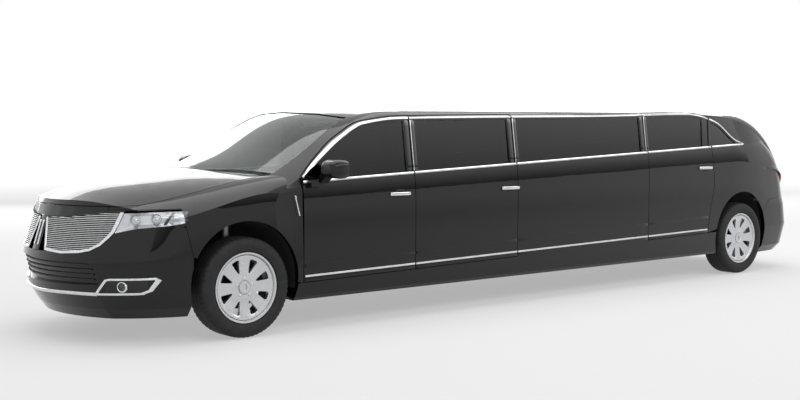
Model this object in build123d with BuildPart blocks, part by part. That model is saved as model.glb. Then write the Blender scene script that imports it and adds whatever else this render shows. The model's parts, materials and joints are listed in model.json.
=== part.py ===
"""Stretch limousine on a crossover body: a long fixed bay, three doors a side, tailgate and split grille.

X points to the front of the car, Y to its left and Z up. The origin is on the floor below the middle of
the car's length. Lengths are in millimetres and angles in degrees.
"""

import os
from math import atan2, cos, degrees, radians, sin

from build123d import *

os.makedirs("parts", exist_ok=True)

# Overall sizes
WHEELBASE = 6043.0
FRONT_OVERHANG = 1200.0
REAR_OVERHANG = 1117.0
WIDTH = 1930.0
HEIGHT = 1715.0
TRACK = 1664.0

NOSE_X = (FRONT_OVERHANG + WHEELBASE + REAR_OVERHANG) / 2
TAIL_X = -NOSE_X
FRONT_AXLE = NOSE_X - FRONT_OVERHANG
REAR_AXLE = TAIL_X + REAR_OVERHANG
HALF = WIDTH / 2
WHEEL_Y = TRACK / 2

# Wheels, tyres and what carries them
TYRE_R = 370.0
TYRE_WIDTH = 235.0
TYRE_BEAD_R = 250.0
TYRE_WALL = 18.0
RIM_R = 259.0
RIM_WALL = 9.0
RIM_WIDTH = 205.0
FLANGE_CLEAR = 3.0
SPOKES = 8
HUB_R = 78.0
DISC_R = 165.0
SPINDLE_R = 30.0
SPINDLE_FIT = 0.4
CALIPER_GAP = 6.0
KINGPIN_Y = WHEEL_Y - 80.0
KINGPIN_R = 16.0
ARCH_R = 440.0
ARCH_LIFT = 48.0
ARCH_WALL = 8.0
ARCH_INNER_Y = 505.0

# Shut lines, walls and seats
SHUT_GAP = 6.0
SEAT_FIT = 0.3
DOOR_INNER_Y = 852.0
DOOR_SKIN = 18.0
DOOR_STEP = 12.0
PILLAR_INNER_Y = 765.0
PILLAR_OUTER_Y = 844.0
FRAME_WALL = 34.0
PILLAR_WALL = 100.0
PANEL_WALL = 45.0
BONNET_WALL = 24.0
GLASS_SET = 6.0
GLASS_WALL = 5.0

# Where the side is divided, measured from the nearer axle
FRONT_SEAM_X = FRONT_AXLE - 488.0
SECOND_SEAM_X = FRONT_AXLE - 1582.0
THIRD_SEAM_X = FRONT_AXLE - 2740.0
FOURTH_SEAM_X = REAR_AXLE + 1533.0
REAR_SEAM_X = REAR_AXLE + 535.0
FIXED_GAP = 3.0

# Lines along the side: height at FRONT_SEAM_X and rise for each millimetre towards the tail
BELT_Z = 1135.0
BELT_RISE = 0.0408
FOOT_Z = 372.0
FOOT_RISE = 0.0185
SILL_FOOT_Z = 236.0

# The body below the belt is lofted through plan outlines, one for each row: height at FRONT_SEAM_X,
# rise towards the tail, nose set back, tail set back and side set in
BODY_LEVELS = [
    (190.0, 0.0, 150.0, 120.0, 75.0),
    (262.0, 0.0, 95.0, 60.0, 28.0),
    (400.0, 0.012, 25.0, 0.0, 8.0),
    (560.0, 0.022, 5.0, 40.0, 3.0),
    (690.0, 0.028, 0.0, 95.0, 1.0),
    (900.0, 0.0345, 62.0, 180.0, 0.0),
    (1010.0, 0.037, 95.0, 270.0, 5.0),
    (1135.0, BELT_RISE, 150.0, 425.0, 24.0),
    (1300.0, BELT_RISE, 260.0, 640.0, 60.0),
]
LEDGE_ROW = 3
NOSE_HALF, NOSE_SWEEP = 580.0, 170.0
FENDER_SWEEP, FENDER_IN = 704.0, 55.0
FENDER_START = FRONT_AXLE - 380.0
TAIL_HALF, TAIL_SWEEP = 700.0, 60.0
QUARTER_SWEEP, QUARTER_IN = 330.0, 50.0
QUARTER_START = REAR_AXLE + 160.0

# The bonnet and fender tops are lofted through cross sections, one for each row: distance behind the
# nose, height at the middle, half width and height where the crown ends, half width and height of the edge
BONNET_STATIONS = [
    (-60.0, 925.0, 600.0, 868.0, 780.0, 700.0),
    (110.0, 1012.0, 640.0, 940.0, 810.0, 800.0),
    (240.0, 1070.0, 665.0, 965.0, 835.0, 830.0),
    (480.0, 1135.0, 700.0, 994.0, 880.0, 850.0),
    (958.0, 1193.0, 730.0, 1082.0, 960.0, 930.0),
    (1352.0, 1214.0, 750.0, 1160.0, 967.0, 1030.0),
    (1780.0, 1226.0, 760.0, 1187.0, 970.0, 1080.0),
]

# The glasshouse is lofted through cross sections, one for each row: distance behind the front axle
# or in front of the rear one, depth below HEIGHT at the middle, half width and depth where the crown
# ends, half width and depth where the side begins
SCREEN_STATIONS = [
    (30.0, 505.0, 770.0, 725.0, 948.0, 850.0),
    (480.0, 275.0, 770.0, 460.0, 925.0, 556.0),
    (680.0, 167.0, 770.0, 348.0, 908.0, 418.0),
    (880.0, 75.0, 745.0, 215.0, 888.0, 272.0),
    (1130.0, 26.0, 730.0, 92.0, 872.0, 150.0),
    (1580.0, 6.0, 760.0, 43.0, 866.0, 100.0),
]
TAIL_STATIONS = [
    (663.0, 6.0, 790.0, 32.0, 866.0, 62.0),
    (163.0, 16.0, 780.0, 48.0, 862.0, 88.0),
    (-237.0, 55.0, 760.0, 100.0, 850.0, 190.0),
    (-547.0, 190.0, 740.0, 245.0, 832.0, 360.0),
    (-897.0, 540.0, 700.0, 610.0, 800.0, 740.0),
]
SIDE_FOOT_HALF = HALF - 26.0
SIDE_FOOT_Z = 1080.0

# Chrome arch over the side windows: distance behind the front axle or in front of the rear one, height
ARCH_LINE_FRONT = [(484.0, 1150.0), (658.0, 1292.0), (884.0, 1456.0), (1123.0, 1572.0), (1481.0, 1612.0)]
ARCH_LINE_REAR = [(2160.0, 1640.0), (812.0, 1664.0), (391.0, 1590.0), (71.0, 1404.0), (-49.0, 1366.0)]
FRAME_RISE = 12.0
FRAME_INNER_Y = 790.0
WINDOW_DROP = 30.0
ROOF_SEAM_Z = 1640.0

# Front end, seen from the front: half width and height of the corners
LAMP_FACE = [(592.0, 952.0), (604.0, 806.0), (764.0, 790.0), (990.0, 862.0), (990.0, 962.0)]
GRILLE_FACE = [(0.0, 978.0), (505.0, 968.0), (575.0, 820.0), (590.0, 700.0), (470.0, 664.0), (0.0, 652.0)]
GRILLE_MOUTH = [(34.0, 956.0), (482.0, 946.0), (548.0, 815.0), (560.0, 722.0), (460.0, 690.0), (34.0, 678.0)]
INTAKE_FACE = [(0.0, 600.0), (520.0, 612.0), (620.0, 560.0), (600.0, 440.0), (0.0, 430.0)]
LAMP_BACK_X = FRONT_AXLE + 478.0
BUMPER_SEAM_X = FRONT_AXLE + 420.0

# Tail
TAILGATE_HALF = 702.0
TAILGATE_FOOT = 772.0
TAILGATE_HEAD_X = REAR_AXLE - 150.0
BUMPER_TOP = 764.0
REAR_BUMPER_X = REAR_AXLE - 520.0
TAIL_LAMP_FACE = [(706.0, 925.0), (990.0, 960.0), (990.0, 1120.0), (706.0, 1105.0)]
TAIL_LAMP_X = REAR_AXLE - 800.0

# Floor
FLOOR_Z, FLOOR_WALL = 290.0, 28.0
FLOOR_HALF = PILLAR_INNER_Y - SEAT_FIT
BOOT_FLOOR_Z = 590.0
FIREWALL_X = FRONT_AXLE - 474.0
RAIL_Y, RAIL_WIDTH, RAIL_HIGH = 430.0, 80.0, 110.0


def belt(x):
    """Height of the bottom edge of the side windows."""
    return BELT_Z + BELT_RISE * (FRONT_SEAM_X - x)


def foot(x):
    """Height of the bottom edge of the doors."""
    return FOOT_Z + FOOT_RISE * (FRONT_SEAM_X - x)


def side_prism(points, y_from, y_to, grow=0.0):
    """Block with this outline in side view, between two distances from the middle."""
    with BuildPart() as block:
        with BuildSketch(Plane.XZ.offset(-y_from)):
            with BuildLine():
                Polyline(*points, close=True)
            make_face()
            if grow:
                offset(amount=grow, kind=Kind.INTERSECTION)
        extrude(amount=y_from - y_to)
    return block.part


def front_prism(points, x_from, x_to, grow=0.0):
    """Block with this outline seen from the front, between two stations."""
    with BuildPart() as block:
        with BuildSketch(Plane.YZ.offset(x_from)):
            with BuildLine():
                Polyline(*points, close=True)
            make_face()
            if grow:
                offset(amount=grow, kind=Kind.INTERSECTION)
        extrude(amount=x_to - x_from)
    return block.part


def plan_prism(points, z_from, z_to, grow=0.0):
    """Block with this outline seen from above, between two heights."""
    with BuildPart() as block:
        with BuildSketch(Plane.XY.offset(z_from)):
            with BuildLine():
                Polyline(*points, close=True)
            make_face()
            if grow:
                offset(amount=grow, kind=Kind.INTERSECTION)
        extrude(amount=z_to - z_from)
    return block.part


def box(x_from, x_to, y_from, y_to, z_from, z_to):
    """Block between two corners."""
    with BuildPart() as block:
        with Locations(((x_from + x_to) / 2, (y_from + y_to) / 2, (z_from + z_to) / 2)):
            Box(x_to - x_from, y_to - y_from, z_to - z_from)
    return block.part


def rod(x, y_from, y_to, z, radius):
    """Round bar across the car."""
    with BuildPart() as bar:
        with BuildSketch(Plane.XZ.offset(-y_from)):
            with Locations((x, z)):
                Circle(radius)
        extrude(amount=y_from - y_to)
    return bar.part


def post(x, y, z_from, z_to, radius):
    """Upright round bar."""
    with BuildPart() as bar:
        with BuildSketch(Plane.XY.offset(z_from)):
            with Locations((x, y)):
                Circle(radius)
        extrude(amount=z_to - z_from)
    return bar.part


def both_sides(points):
    """The outline together with its mirror image across the middle."""
    return list(points) + [(-a, b) for a, b in reversed(points) if a > 0]


def body_levels(rows, ruled, inset=0.0):
    """Solid through the plan outlines of these rows, set in all round."""
    with BuildPart() as band:
        for height, rise, nose_back, tail_back, side_in in rows:
            nose, tail = NOSE_X - nose_back - inset, TAIL_X + tail_back + inset
            half = HALF - side_in - inset
            with BuildSketch(Plane((FRONT_SEAM_X, 0, height), x_dir=(1, 0, -rise), z_dir=(rise, 0, 1))):
                with BuildLine():
                    side = Line((QUARTER_START - FRONT_SEAM_X, half), (FENDER_START - FRONT_SEAM_X, half))
                    fender = TangentArc(
                        side @ 1, (nose - FENDER_SWEEP - FRONT_SEAM_X, half - FENDER_IN), tangent=(1, 0)
                    )
                    corner = TangentArc(
                        fender @ 1, (nose - NOSE_SWEEP - FRONT_SEAM_X, NOSE_HALF), tangent=fender % 1
                    )
                    TangentArc((nose - FRONT_SEAM_X, 0), corner @ 1, tangent=(0, 1))
                    quarter = TangentArc(
                        side @ 0, (tail + QUARTER_SWEEP - FRONT_SEAM_X, half - QUARTER_IN), tangent=(-1, 0)
                    )
                    rear_corner = TangentArc(
                        quarter @ 1, (tail + TAIL_SWEEP - FRONT_SEAM_X, TAIL_HALF), tangent=quarter % 1
                    )
                    TangentArc((tail - FRONT_SEAM_X, 0), rear_corner @ 1, tangent=(0, 1))
                    mirror(about=Plane.XZ)
                make_face()
        loft(ruled=ruled)
    return band.part


def lower_body(inset=0.0):
    """The body up to the top level row."""
    return body_levels(BODY_LEVELS[: LEDGE_ROW + 1], True, inset) + body_levels(
        BODY_LEVELS[LEDGE_ROW:], False, inset
    )


def glass_sections(stations, inset):
    """Solid through cross sections of the glasshouse, set in by a wall or by the glass."""
    with BuildPart() as house:
        for x, top_drop, crown_half, crown_drop, side_half, side_drop in stations:
            crown_z, side_z = HEIGHT - crown_drop - inset, HEIGHT - side_drop - inset / 2
            lower = 60 if inset else 0
            foot_half, foot_z = SIDE_FOOT_HALF - inset, SIDE_FOOT_Z - lower
            if side_z < SIDE_FOOT_Z + 40:
                foot_half, foot_z = side_half + 12 - inset, side_z - 60 - lower
            with BuildSketch(Plane((x, 0, 0), x_dir=(0, 1, 0), z_dir=(1, 0, 0))):
                with BuildLine():
                    crown = ThreePointArc(
                        (inset - crown_half, crown_z),
                        (0, HEIGHT - top_drop - inset),
                        (crown_half - inset, crown_z),
                    )
                    shoulder = TangentArc(crown @ 1, (side_half - inset, side_z), tangent=crown % 1)
                    mirror(shoulder, about=Plane.YZ)
                    Polyline(
                        (side_half - inset, side_z),
                        (foot_half, foot_z),
                        (-foot_half, foot_z),
                        (inset - side_half, side_z),
                    )
                make_face()
        loft()
    return house.part


SCREEN_ROWS = [(FRONT_AXLE - back, *rest) for back, *rest in SCREEN_STATIONS]
TAIL_ROWS = [(REAR_AXLE + ahead, *rest) for ahead, *rest in TAIL_STATIONS]
LAST_X, *LAST_REST = TAIL_ROWS[-1]


def glasshouse(inset=0.0):
    """The whole glasshouse: windscreen end, roof and tail."""
    return (
        glass_sections(SCREEN_ROWS, inset)
        + glass_sections([SCREEN_ROWS[-1], TAIL_ROWS[0]], inset)
        + glass_sections([*TAIL_ROWS[:-1], (LAST_X + inset, *LAST_REST)], inset)
    )


def bonnet_top(inset=0.0):
    """Solid below the bonnet and the fender tops."""
    with BuildPart() as top:
        for back, mid_z, crown_half, crown_z, edge_half, edge_z in BONNET_STATIONS:
            with BuildSketch(Plane((NOSE_X - back, 0, 0), x_dir=(0, 1, 0), z_dir=(1, 0, 0))):
                with BuildLine():
                    crown = ThreePointArc(
                        (inset - crown_half, crown_z - inset),
                        (0, mid_z - inset),
                        (crown_half - inset, crown_z - inset),
                    )
                    shoulder = TangentArc(crown @ 1, (edge_half, edge_z - inset), tangent=crown % 1)
                    mirror(shoulder, about=Plane.YZ)
                    Polyline(
                        (edge_half, edge_z - inset),
                        (edge_half + 30, 0),
                        (-edge_half - 30, 0),
                        (-edge_half, edge_z - inset),
                    )
                make_face()
        loft()
    return top.part




ARCH_KNOTS = [(FRONT_AXLE - back, z) for back, z in ARCH_LINE_FRONT]
ARCH_KNOTS += [(REAR_AXLE + ahead, z) for ahead, z in ARCH_LINE_REAR]
ARCH_STEPS = 4


def smooth_line(knots):
    """Points on a smooth line through the knots that turns nowhere between them."""
    slopes = [(zb - za) / (xb - xa) for (xa, za), (xb, zb) in zip(knots, knots[1:])]
    leans = [slopes[0]]
    for before, after in zip(slopes, slopes[1:]):
        same_way = before * after > 0
        leans.append(2 * before * after / (before + after) if same_way else 0)
    leans.append(slopes[-1])
    points = []
    for (x_a, z_a), (x_b, z_b), lean_a, lean_b in zip(knots, knots[1:], leans, leans[1:]):
        span = x_b - x_a
        for step in range(ARCH_STEPS):
            t = step / ARCH_STEPS
            z = z_a * (1 + 2 * t) * (1 - t) ** 2 + span * lean_a * t * (1 - t) ** 2
            z += z_b * t * t * (3 - 2 * t) - span * lean_b * t * t * (1 - t)
            points.append((x_a + span * t, z))
    return [*points, knots[-1]]


ARCH_POINTS = smooth_line(ARCH_KNOTS)


def arch(x):
    """Height of the chrome arch over the side windows."""
    pairs = zip(ARCH_POINTS, ARCH_POINTS[1:])
    for (x_a, z_a), (x_b, z_b) in pairs:
        if x_b <= x <= x_a:
            return z_a + (z_b - z_a) * (x_a - x) / (x_a - x_b)
    return ARCH_POINTS[0][1] if x > ARCH_POINTS[0][0] else ARCH_POINTS[-1][1]


def along_arch(x_front, x_rear, rise):
    """Corners of the arch between two stations, raised or lowered."""
    inner = [(x, z + rise) for x, z in ARCH_POINTS if x_rear < x < x_front]
    return [(x_front, arch(x_front) + rise), *inner, (x_rear, arch(x_rear) + rise)]


def window_points(x_front, x_rear, x_top):
    """Outline of a side window between two stations, its rear edge leaning to x_top."""
    top = along_arch(x_front, x_top, -WINDOW_DROP)
    return [(x_front, belt(x_front)), *top, (x_rear, belt(x_rear))]


def save(part, name):
    """Labels a finished piece and writes it."""
    part.label = name
    export_step(part, f"parts/{name}.step")


def save_pair(part, name):
    """Writes a left piece and its mirror image as one file."""
    save(Compound([*part.solids(), *mirror(part, about=Plane.XZ).solids()]), name)


# Base solids that the panels are cut from
FAR = 6000.0
LEFT = box(-FAR, FAR, 0, 2000, -100, 3000)
FRONT_ZONE = box(FRONT_SEAM_X, FAR, -2000, 2000, -100, 3000)
ABOVE_BELT = side_prism(
    [(FRONT_SEAM_X, belt(FRONT_SEAM_X)), (-FAR, belt(-FAR)), (-FAR, 3000), (FRONT_SEAM_X, 3000)], -2000, 2000
)
INNER_ABOVE = Pos(0, 0, -PANEL_WALL) * ABOVE_BELT
LOW = lower_body()
LOW_WALL = lower_body(PANEL_WALL)
GLASS_OUT = glasshouse()
TOP_OUT = bonnet_top()
TOP_CLEAR = bonnet_top(-SEAT_FIT)
FRONT_OUT = LOW & FRONT_ZONE & TOP_OUT
FRONT_SHELL = FRONT_OUT - (LOW_WALL & bonnet_top(BONNET_WALL))
SIDE_SLAB = (LOW & box(REAR_SEAM_X - 200, FRONT_SEAM_X, DOOR_INNER_Y, HALF + 50, 0, 2000)) - ABOVE_BELT
SIDE_SKIN = SIDE_SLAB - lower_body(DOOR_SKIN)
GLASS_SHELL = GLASS_OUT - glasshouse(FRAME_WALL)
SIDE_SHELL = GLASS_SHELL & box(-FAR, FAR, FRAME_INNER_Y, 1200, SIDE_FOOT_Z, 3000)
PANE = glasshouse(GLASS_SET) - glasshouse(GLASS_SET + GLASS_WALL)
SIDE_PANE = PANE & box(-FAR, FAR, 600, 1200, SIDE_FOOT_Z, 3000)
TAIL_ZONE = box(-FAR, REAR_SEAM_X + 100, -2000, 2000, -100, 3000)
TAIL_OUT = ((LOW & TAIL_ZONE) - ABOVE_BELT) + (GLASS_OUT & TAIL_ZONE)
TAIL_SHELL = TAIL_OUT - ((LOW_WALL - INNER_ABOVE) + glasshouse(PANEL_WALL))


# Side doors: a skin over the whole opening, an inner wall and window frame stepped in at the rear edge
DOOR_TABLE = [
    # name, front edge, rear edge, window front, window rear, window top rear
    ("front", FRONT_SEAM_X, SECOND_SEAM_X, FRONT_SEAM_X - 55, SECOND_SEAM_X + 62, SECOND_SEAM_X + 66),
    ("mid", SECOND_SEAM_X, THIRD_SEAM_X, SECOND_SEAM_X - 45, THIRD_SEAM_X + 58, THIRD_SEAM_X + 62),
    ("rear", FOURTH_SEAM_X, REAR_SEAM_X, FOURTH_SEAM_X - 50, REAR_SEAM_X + 100, REAR_SEAM_X + 74),
]


def rear_door_edge(back):
    """Corners of the rear door's rear edge from the arch down to the sill, moved forwards."""
    x = REAR_AXLE + back
    return [
        (x + 500, arch(REAR_AXLE + 500) + FRAME_RISE),
        (x + 535, belt(REAR_AXLE + 535)),
        (x + 497, 930),
        (x + 549, 739),
        (x + 588, foot(REAR_AXLE + 588)),
    ]


def door_points(name, front, rear, step):
    """Side outline of a door whose rear edge is stepped in."""
    f = front - SHUT_GAP / 2
    if name == "rear":
        edge = rear_door_edge(SHUT_GAP / 2 + step)
        top = along_arch(f, edge[0][0], FRAME_RISE)[:-1]
        return [(f, foot(f)), *top, *edge]
    r = rear + SHUT_GAP / 2 + step
    return [(f, foot(f)), *along_arch(f, r, FRAME_RISE), (r, foot(r))]


for door_name, front_x, rear_x, window_front, window_rear, window_top in DOOR_TABLE:
    opening = window_points(window_front, window_rear, window_top)
    with BuildPart() as door:
        add(SIDE_SLAB & side_prism(door_points(door_name, front_x, rear_x, DOOR_STEP), 0, 1200))
        add(SIDE_SHELL & side_prism(door_points(door_name, front_x, rear_x, DOOR_STEP), 0, 1200))
        add(side_prism(opening, 0, 1200), mode=Mode.SUBTRACT)
        add(SIDE_SKIN & side_prism(door_points(door_name, front_x, rear_x, 0), 0, 1200))
    save(door.part, f"{door_name}_door_left")
    save(mirror(door.part, about=Plane.XZ), f"{door_name}_door_right")
    pane = SIDE_PANE & side_prism(opening, 0, 1200, -SEAT_FIT)
    save(pane, f"{door_name}_door_glass_left")
    save(mirror(pane, about=Plane.XZ), f"{door_name}_door_glass_right")

# Fixed bay between the mid and rear doors
bay_front, bay_rear = THIRD_SEAM_X - SHUT_GAP / 2, FOURTH_SEAM_X + SHUT_GAP / 2
bay_window = window_points(THIRD_SEAM_X - 50, FOURTH_SEAM_X + 60, FOURTH_SEAM_X + 64)
bay_outline = [
    (bay_front, foot(bay_front) - SHUT_GAP + SEAT_FIT),
    *along_arch(bay_front, bay_rear, FRAME_RISE + SHUT_GAP),
    (bay_rear, foot(bay_rear) - SHUT_GAP + SEAT_FIT),
]
bay_panel = ((SIDE_SLAB + SIDE_SHELL) & side_prism(bay_outline, 0, 1200)) - side_prism(bay_window, 0, 1200)
save(bay_panel, "bay_panel_left")
save(mirror(bay_panel, about=Plane.XZ), "bay_panel_right")
bay_pane = SIDE_PANE & side_prism(bay_window, 0, 1200, -SEAT_FIT)
save_pair(bay_pane, "bay_glass")

# Sills under the doors, from arch to arch
sill_front, sill_rear = FRONT_AXLE - ARCH_R + 22, REAR_AXLE + ARCH_R - 22
sill_outline = [
    (sill_front, SILL_FOOT_Z),
    (sill_front, foot(sill_front) - SHUT_GAP),
    (sill_rear, foot(sill_rear) - SHUT_GAP),
    (sill_rear, SILL_FOOT_Z),
]


def wheel_well(axle, radius):
    """Cylinder across the whole car at an axle."""
    with BuildPart() as well:
        with BuildSketch(Plane.XZ.offset(-1500)):
            with Locations((axle, TYRE_R + ARCH_LIFT)):
                Circle(radius)
        extrude(amount=3000)
    return well.part


FRONT_WELL = wheel_well(FRONT_AXLE, ARCH_R)
REAR_WELL = wheel_well(REAR_AXLE, ARCH_R)
sill = LOW & side_prism(sill_outline, PILLAR_INNER_Y, 1200)
sill = sill - wheel_well(FRONT_AXLE, ARCH_R + ARCH_WALL + 0.5) - wheel_well(REAR_AXLE, ARCH_R + ARCH_WALL + 0.5)
save_pair(sill, "sills")

# Front fenders
BONNET_EDGE = [
    (NOSE_X - 95, 0),
    (NOSE_X - 112, 330),
    (NOSE_X - 175, 520),
    (NOSE_X - 330, 652),
    (NOSE_X - 479, 704),
    (FRONT_AXLE - 150, 752),
    (FRONT_AXLE - 330, 766),
    (FRONT_AXLE - 215, 600),
    (FRONT_AXLE - 90, 380),
    (FRONT_AXLE - 22, 180),
    (FRONT_AXLE, 0),
]
FRONT_LIP_Z = 986.0


def mirrored(points):
    """The outline seen from above together with its mirror image."""
    return list(points) + [(a, -b) for a, b in reversed(points) if b > 0]


bonnet_block = plan_prism(mirrored(BONNET_EDGE), FRONT_LIP_Z, 2000)
bonnet_hole = plan_prism(mirrored(BONNET_EDGE), FRONT_LIP_Z - SHUT_GAP, 2000, SHUT_GAP)
lamp_block = front_prism(LAMP_FACE, LAMP_BACK_X, FAR)
lamp_hole = front_prism(LAMP_FACE, LAMP_BACK_X - FIXED_GAP, FAR, SEAT_FIT)
grille_block = front_prism(both_sides(GRILLE_FACE), FRONT_AXLE + 700, FAR)
grille_hole = front_prism(both_sides(GRILLE_FACE), FRONT_AXLE + 700, FAR, SEAT_FIT)
fender_outline = [
    (FRONT_SEAM_X + SHUT_GAP / 2, foot(FRONT_SEAM_X) - SHUT_GAP + SEAT_FIT),
    (FRONT_SEAM_X + SHUT_GAP / 2, 1400),
    (FAR, 1400),
    (FAR, 963),
    (LAMP_BACK_X, 963),
    (LAMP_BACK_X, 866),
    (BUMPER_SEAM_X, 620),
]
cowl_outline = mirrored(
    [(FRONT_SEAM_X, 0), (FRONT_SEAM_X, 782), (FRONT_AXLE - 345, 782), *BONNET_EDGE[6:]]
)
fender = FRONT_SHELL & side_prism(fender_outline, 604, 1200)
fender = fender - bonnet_hole - FRONT_WELL - lamp_hole - plan_prism(cowl_outline, 1000, 2000, FIXED_GAP)
save(fender, "front_fender_left")
save(mirror(fender, about=Plane.XZ), "front_fender_right")

# Bonnet
bonnet = FRONT_SHELL & bonnet_block
save(bonnet, "bonnet")

# Cowl below the windscreen and the wall behind the engine
with BuildPart() as cowl:
    add(FRONT_SHELL & plan_prism(cowl_outline, 1000, 2000, -SHUT_GAP))
    add(FRONT_OUT & box(FIREWALL_X, FIREWALL_X + 22, -FLOOR_HALF, FLOOR_HALF, FLOOR_Z + FLOOR_WALL + SEAT_FIT, 2000))
save(cowl.part, "cowl")

# Front bumper
bumper_outline = [
    (BUMPER_SEAM_X + FIXED_GAP, 100),
    (BUMPER_SEAM_X + FIXED_GAP, 620),
    (LAMP_BACK_X + FIXED_GAP, 866 - FIXED_GAP),
    (LAMP_BACK_X + FIXED_GAP, 963 - FIXED_GAP),
    (FAR, 963 - FIXED_GAP),
    (FAR, 100),
]
with BuildPart() as front_bumper:
    add(FRONT_SHELL & side_prism(bumper_outline, -1200, 1200))
    add(FRONT_SHELL & box(FRONT_AXLE + 700, FAR, -600, 600, 900, 1100))
    add(bonnet_hole, mode=Mode.SUBTRACT)
    add(lamp_hole, mode=Mode.SUBTRACT)
    add(mirror(lamp_hole, about=Plane.XZ), mode=Mode.SUBTRACT)
    add(grille_hole, mode=Mode.SUBTRACT)
    add(FRONT_WELL, mode=Mode.SUBTRACT)
    add(front_prism(both_sides(INTAKE_FACE), FRONT_AXLE, FAR) - lower_body(PANEL_WALL - 15), mode=Mode.SUBTRACT)
save(front_bumper.part, "front_bumper")

# Grille with a middle bar, and headlamps
grille = (FRONT_SHELL & grille_block) - (
    front_prism(GRILLE_MOUTH, FRONT_AXLE, FAR) - lower_body(PANEL_WALL - 20)
)
grille = grille - mirror(front_prism(GRILLE_MOUTH, FRONT_AXLE, FAR) - lower_body(PANEL_WALL - 20), about=Plane.XZ)
save(grille, "grille")
headlamp = FRONT_SHELL & lamp_block
save_pair(headlamp, "headlamps")

# Windscreen, its foot clear of the bonnet's rear edge
SCREEN_FOOT_GAP = 16.0
SCREEN_FACE = [(776, 1120), (752, 1300), (712, 1560), (700, 1612), (400, 1645), (0, 1660)]
screen_face = both_sides([*reversed(SCREEN_FACE), (0, 1120)])
screen_hole = front_prism(screen_face, FRONT_AXLE - 1400, FAR)
windscreen = (PANE & front_prism(screen_face, FRONT_AXLE - 1400, FAR, -SEAT_FIT)) - TOP_CLEAR
windscreen = windscreen - plan_prism(mirrored(BONNET_EDGE), 900, 2000, SCREEN_FOOT_GAP)
save(windscreen, "windscreen")

# Roof with the front pillars and the rails over the doors
side_zone_outline = [
    (FRONT_SEAM_X, 0),
    *along_arch(FRONT_SEAM_X, REAR_SEAM_X - 43, FRAME_RISE + SHUT_GAP + SEAT_FIT),
    (REAR_SEAM_X - 43, ROOF_SEAM_Z),
    (-FAR, ROOF_SEAM_Z),
    (-FAR, 0),
]
side_zone = side_prism(side_zone_outline, FRAME_INNER_Y - SHUT_GAP, 1200)
roof = (GLASS_SHELL & box(TAILGATE_HEAD_X, FRONT_AXLE + 100, -1200, 1200, 1080, 3000)) - screen_hole - TOP_CLEAR
roof = roof - side_zone - mirror(side_zone, about=Plane.XZ)
for y in (-420, 420):
    roof = roof + box(TAILGATE_HEAD_X - SHUT_GAP + SEAT_FIT, TAILGATE_HEAD_X + 12, y - 25, y + 25, 1646, 1668)
save(roof, "roof")

# Rear quarters
quarter_edge = rear_door_edge(-SHUT_GAP / 2)
quarter_outline = [
    *quarter_edge[::-1],
    (REAR_SEAM_X - 43 - SEAT_FIT, arch(REAR_SEAM_X - 43) + FRAME_RISE),
    (REAR_SEAM_X - 43 - SEAT_FIT, ROOF_SEAM_Z - SEAT_FIT),
    (TAILGATE_HEAD_X - SEAT_FIT, ROOF_SEAM_Z - SEAT_FIT),
    (TAILGATE_HEAD_X - SEAT_FIT, 2000),
    (-FAR, 2000),
    (-FAR, BUMPER_TOP),
    (REAR_BUMPER_X, BUMPER_TOP),
    (REAR_BUMPER_X + 130, 640),
]
quarter_window = [
    (REAR_SEAM_X - 38, belt(REAR_SEAM_X - 38)),
    *along_arch(REAR_SEAM_X - 72, REAR_AXLE + 78, -WINDOW_DROP),
    (REAR_AXLE + 44, belt(REAR_AXLE + 44)),
]
tail_lamp_block = front_prism(TAIL_LAMP_FACE, -FAR, TAIL_LAMP_X)
tail_lamp_hole = front_prism(TAIL_LAMP_FACE, -FAR, TAIL_LAMP_X + FIXED_GAP, SEAT_FIT)
quarter = (TAIL_SHELL & side_prism(quarter_outline, TAILGATE_HALF + SHUT_GAP, 1200))
quarter = quarter - box(TAILGATE_HEAD_X - SEAT_FIT, FAR, 0, FRAME_INNER_Y - SHUT_GAP + SEAT_FIT, 0, 3000)
quarter = quarter - REAR_WELL - side_prism(quarter_window, 0, 1200) - tail_lamp_hole
save(quarter, "rear_quarter_left")
save(mirror(quarter, about=Plane.XZ), "rear_quarter_right")
quarter_pane = SIDE_PANE & side_prism(quarter_window, 0, 1200, -SEAT_FIT)
save_pair(quarter_pane, "quarter_glass")
tail_lamp = TAIL_SHELL & tail_lamp_block
save_pair(tail_lamp, "tail_lamps")

# Tailgate and its window
tailgate_block = box(-FAR, TAILGATE_HEAD_X - SHUT_GAP, -TAILGATE_HALF, TAILGATE_HALF, TAILGATE_FOOT, 3000)
REAR_WINDOW = [(590, 1412), (560, 1560), (520, 1612)]
rear_window_face = both_sides([(0, 1412)] + REAR_WINDOW + [(0, 1622)])
tailgate = (TAIL_SHELL & tailgate_block) - front_prism(rear_window_face, -FAR, TAILGATE_HEAD_X - 60)
save(tailgate, "tailgate")
rear_pane = PANE & front_prism(rear_window_face, -FAR, TAILGATE_HEAD_X - 60, -SEAT_FIT)
save(rear_pane, "tailgate_glass")

# Rear bumper
rear_bumper_outline = [
    (REAR_BUMPER_X - FIXED_GAP, 100),
    (REAR_BUMPER_X + 130 - FIXED_GAP, 100),
    (REAR_BUMPER_X + 130 - FIXED_GAP, 640),
    (REAR_BUMPER_X - FIXED_GAP, BUMPER_TOP - FIXED_GAP),
    (-FAR, BUMPER_TOP - FIXED_GAP),
    (-FAR, 100),
]
rear_bumper = (TAIL_SHELL & side_prism(rear_bumper_outline, -1200, 1200)) - REAR_WELL
for y in (-310, 310):
    stop_top = TAILGATE_FOOT - SEAT_FIT
    rear_bumper = rear_bumper + box(TAIL_X + 104, TAIL_X + 128, y - 20, y + 20, BUMPER_TOP - 20, stop_top)
save(rear_bumper, "rear_bumper")

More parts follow.
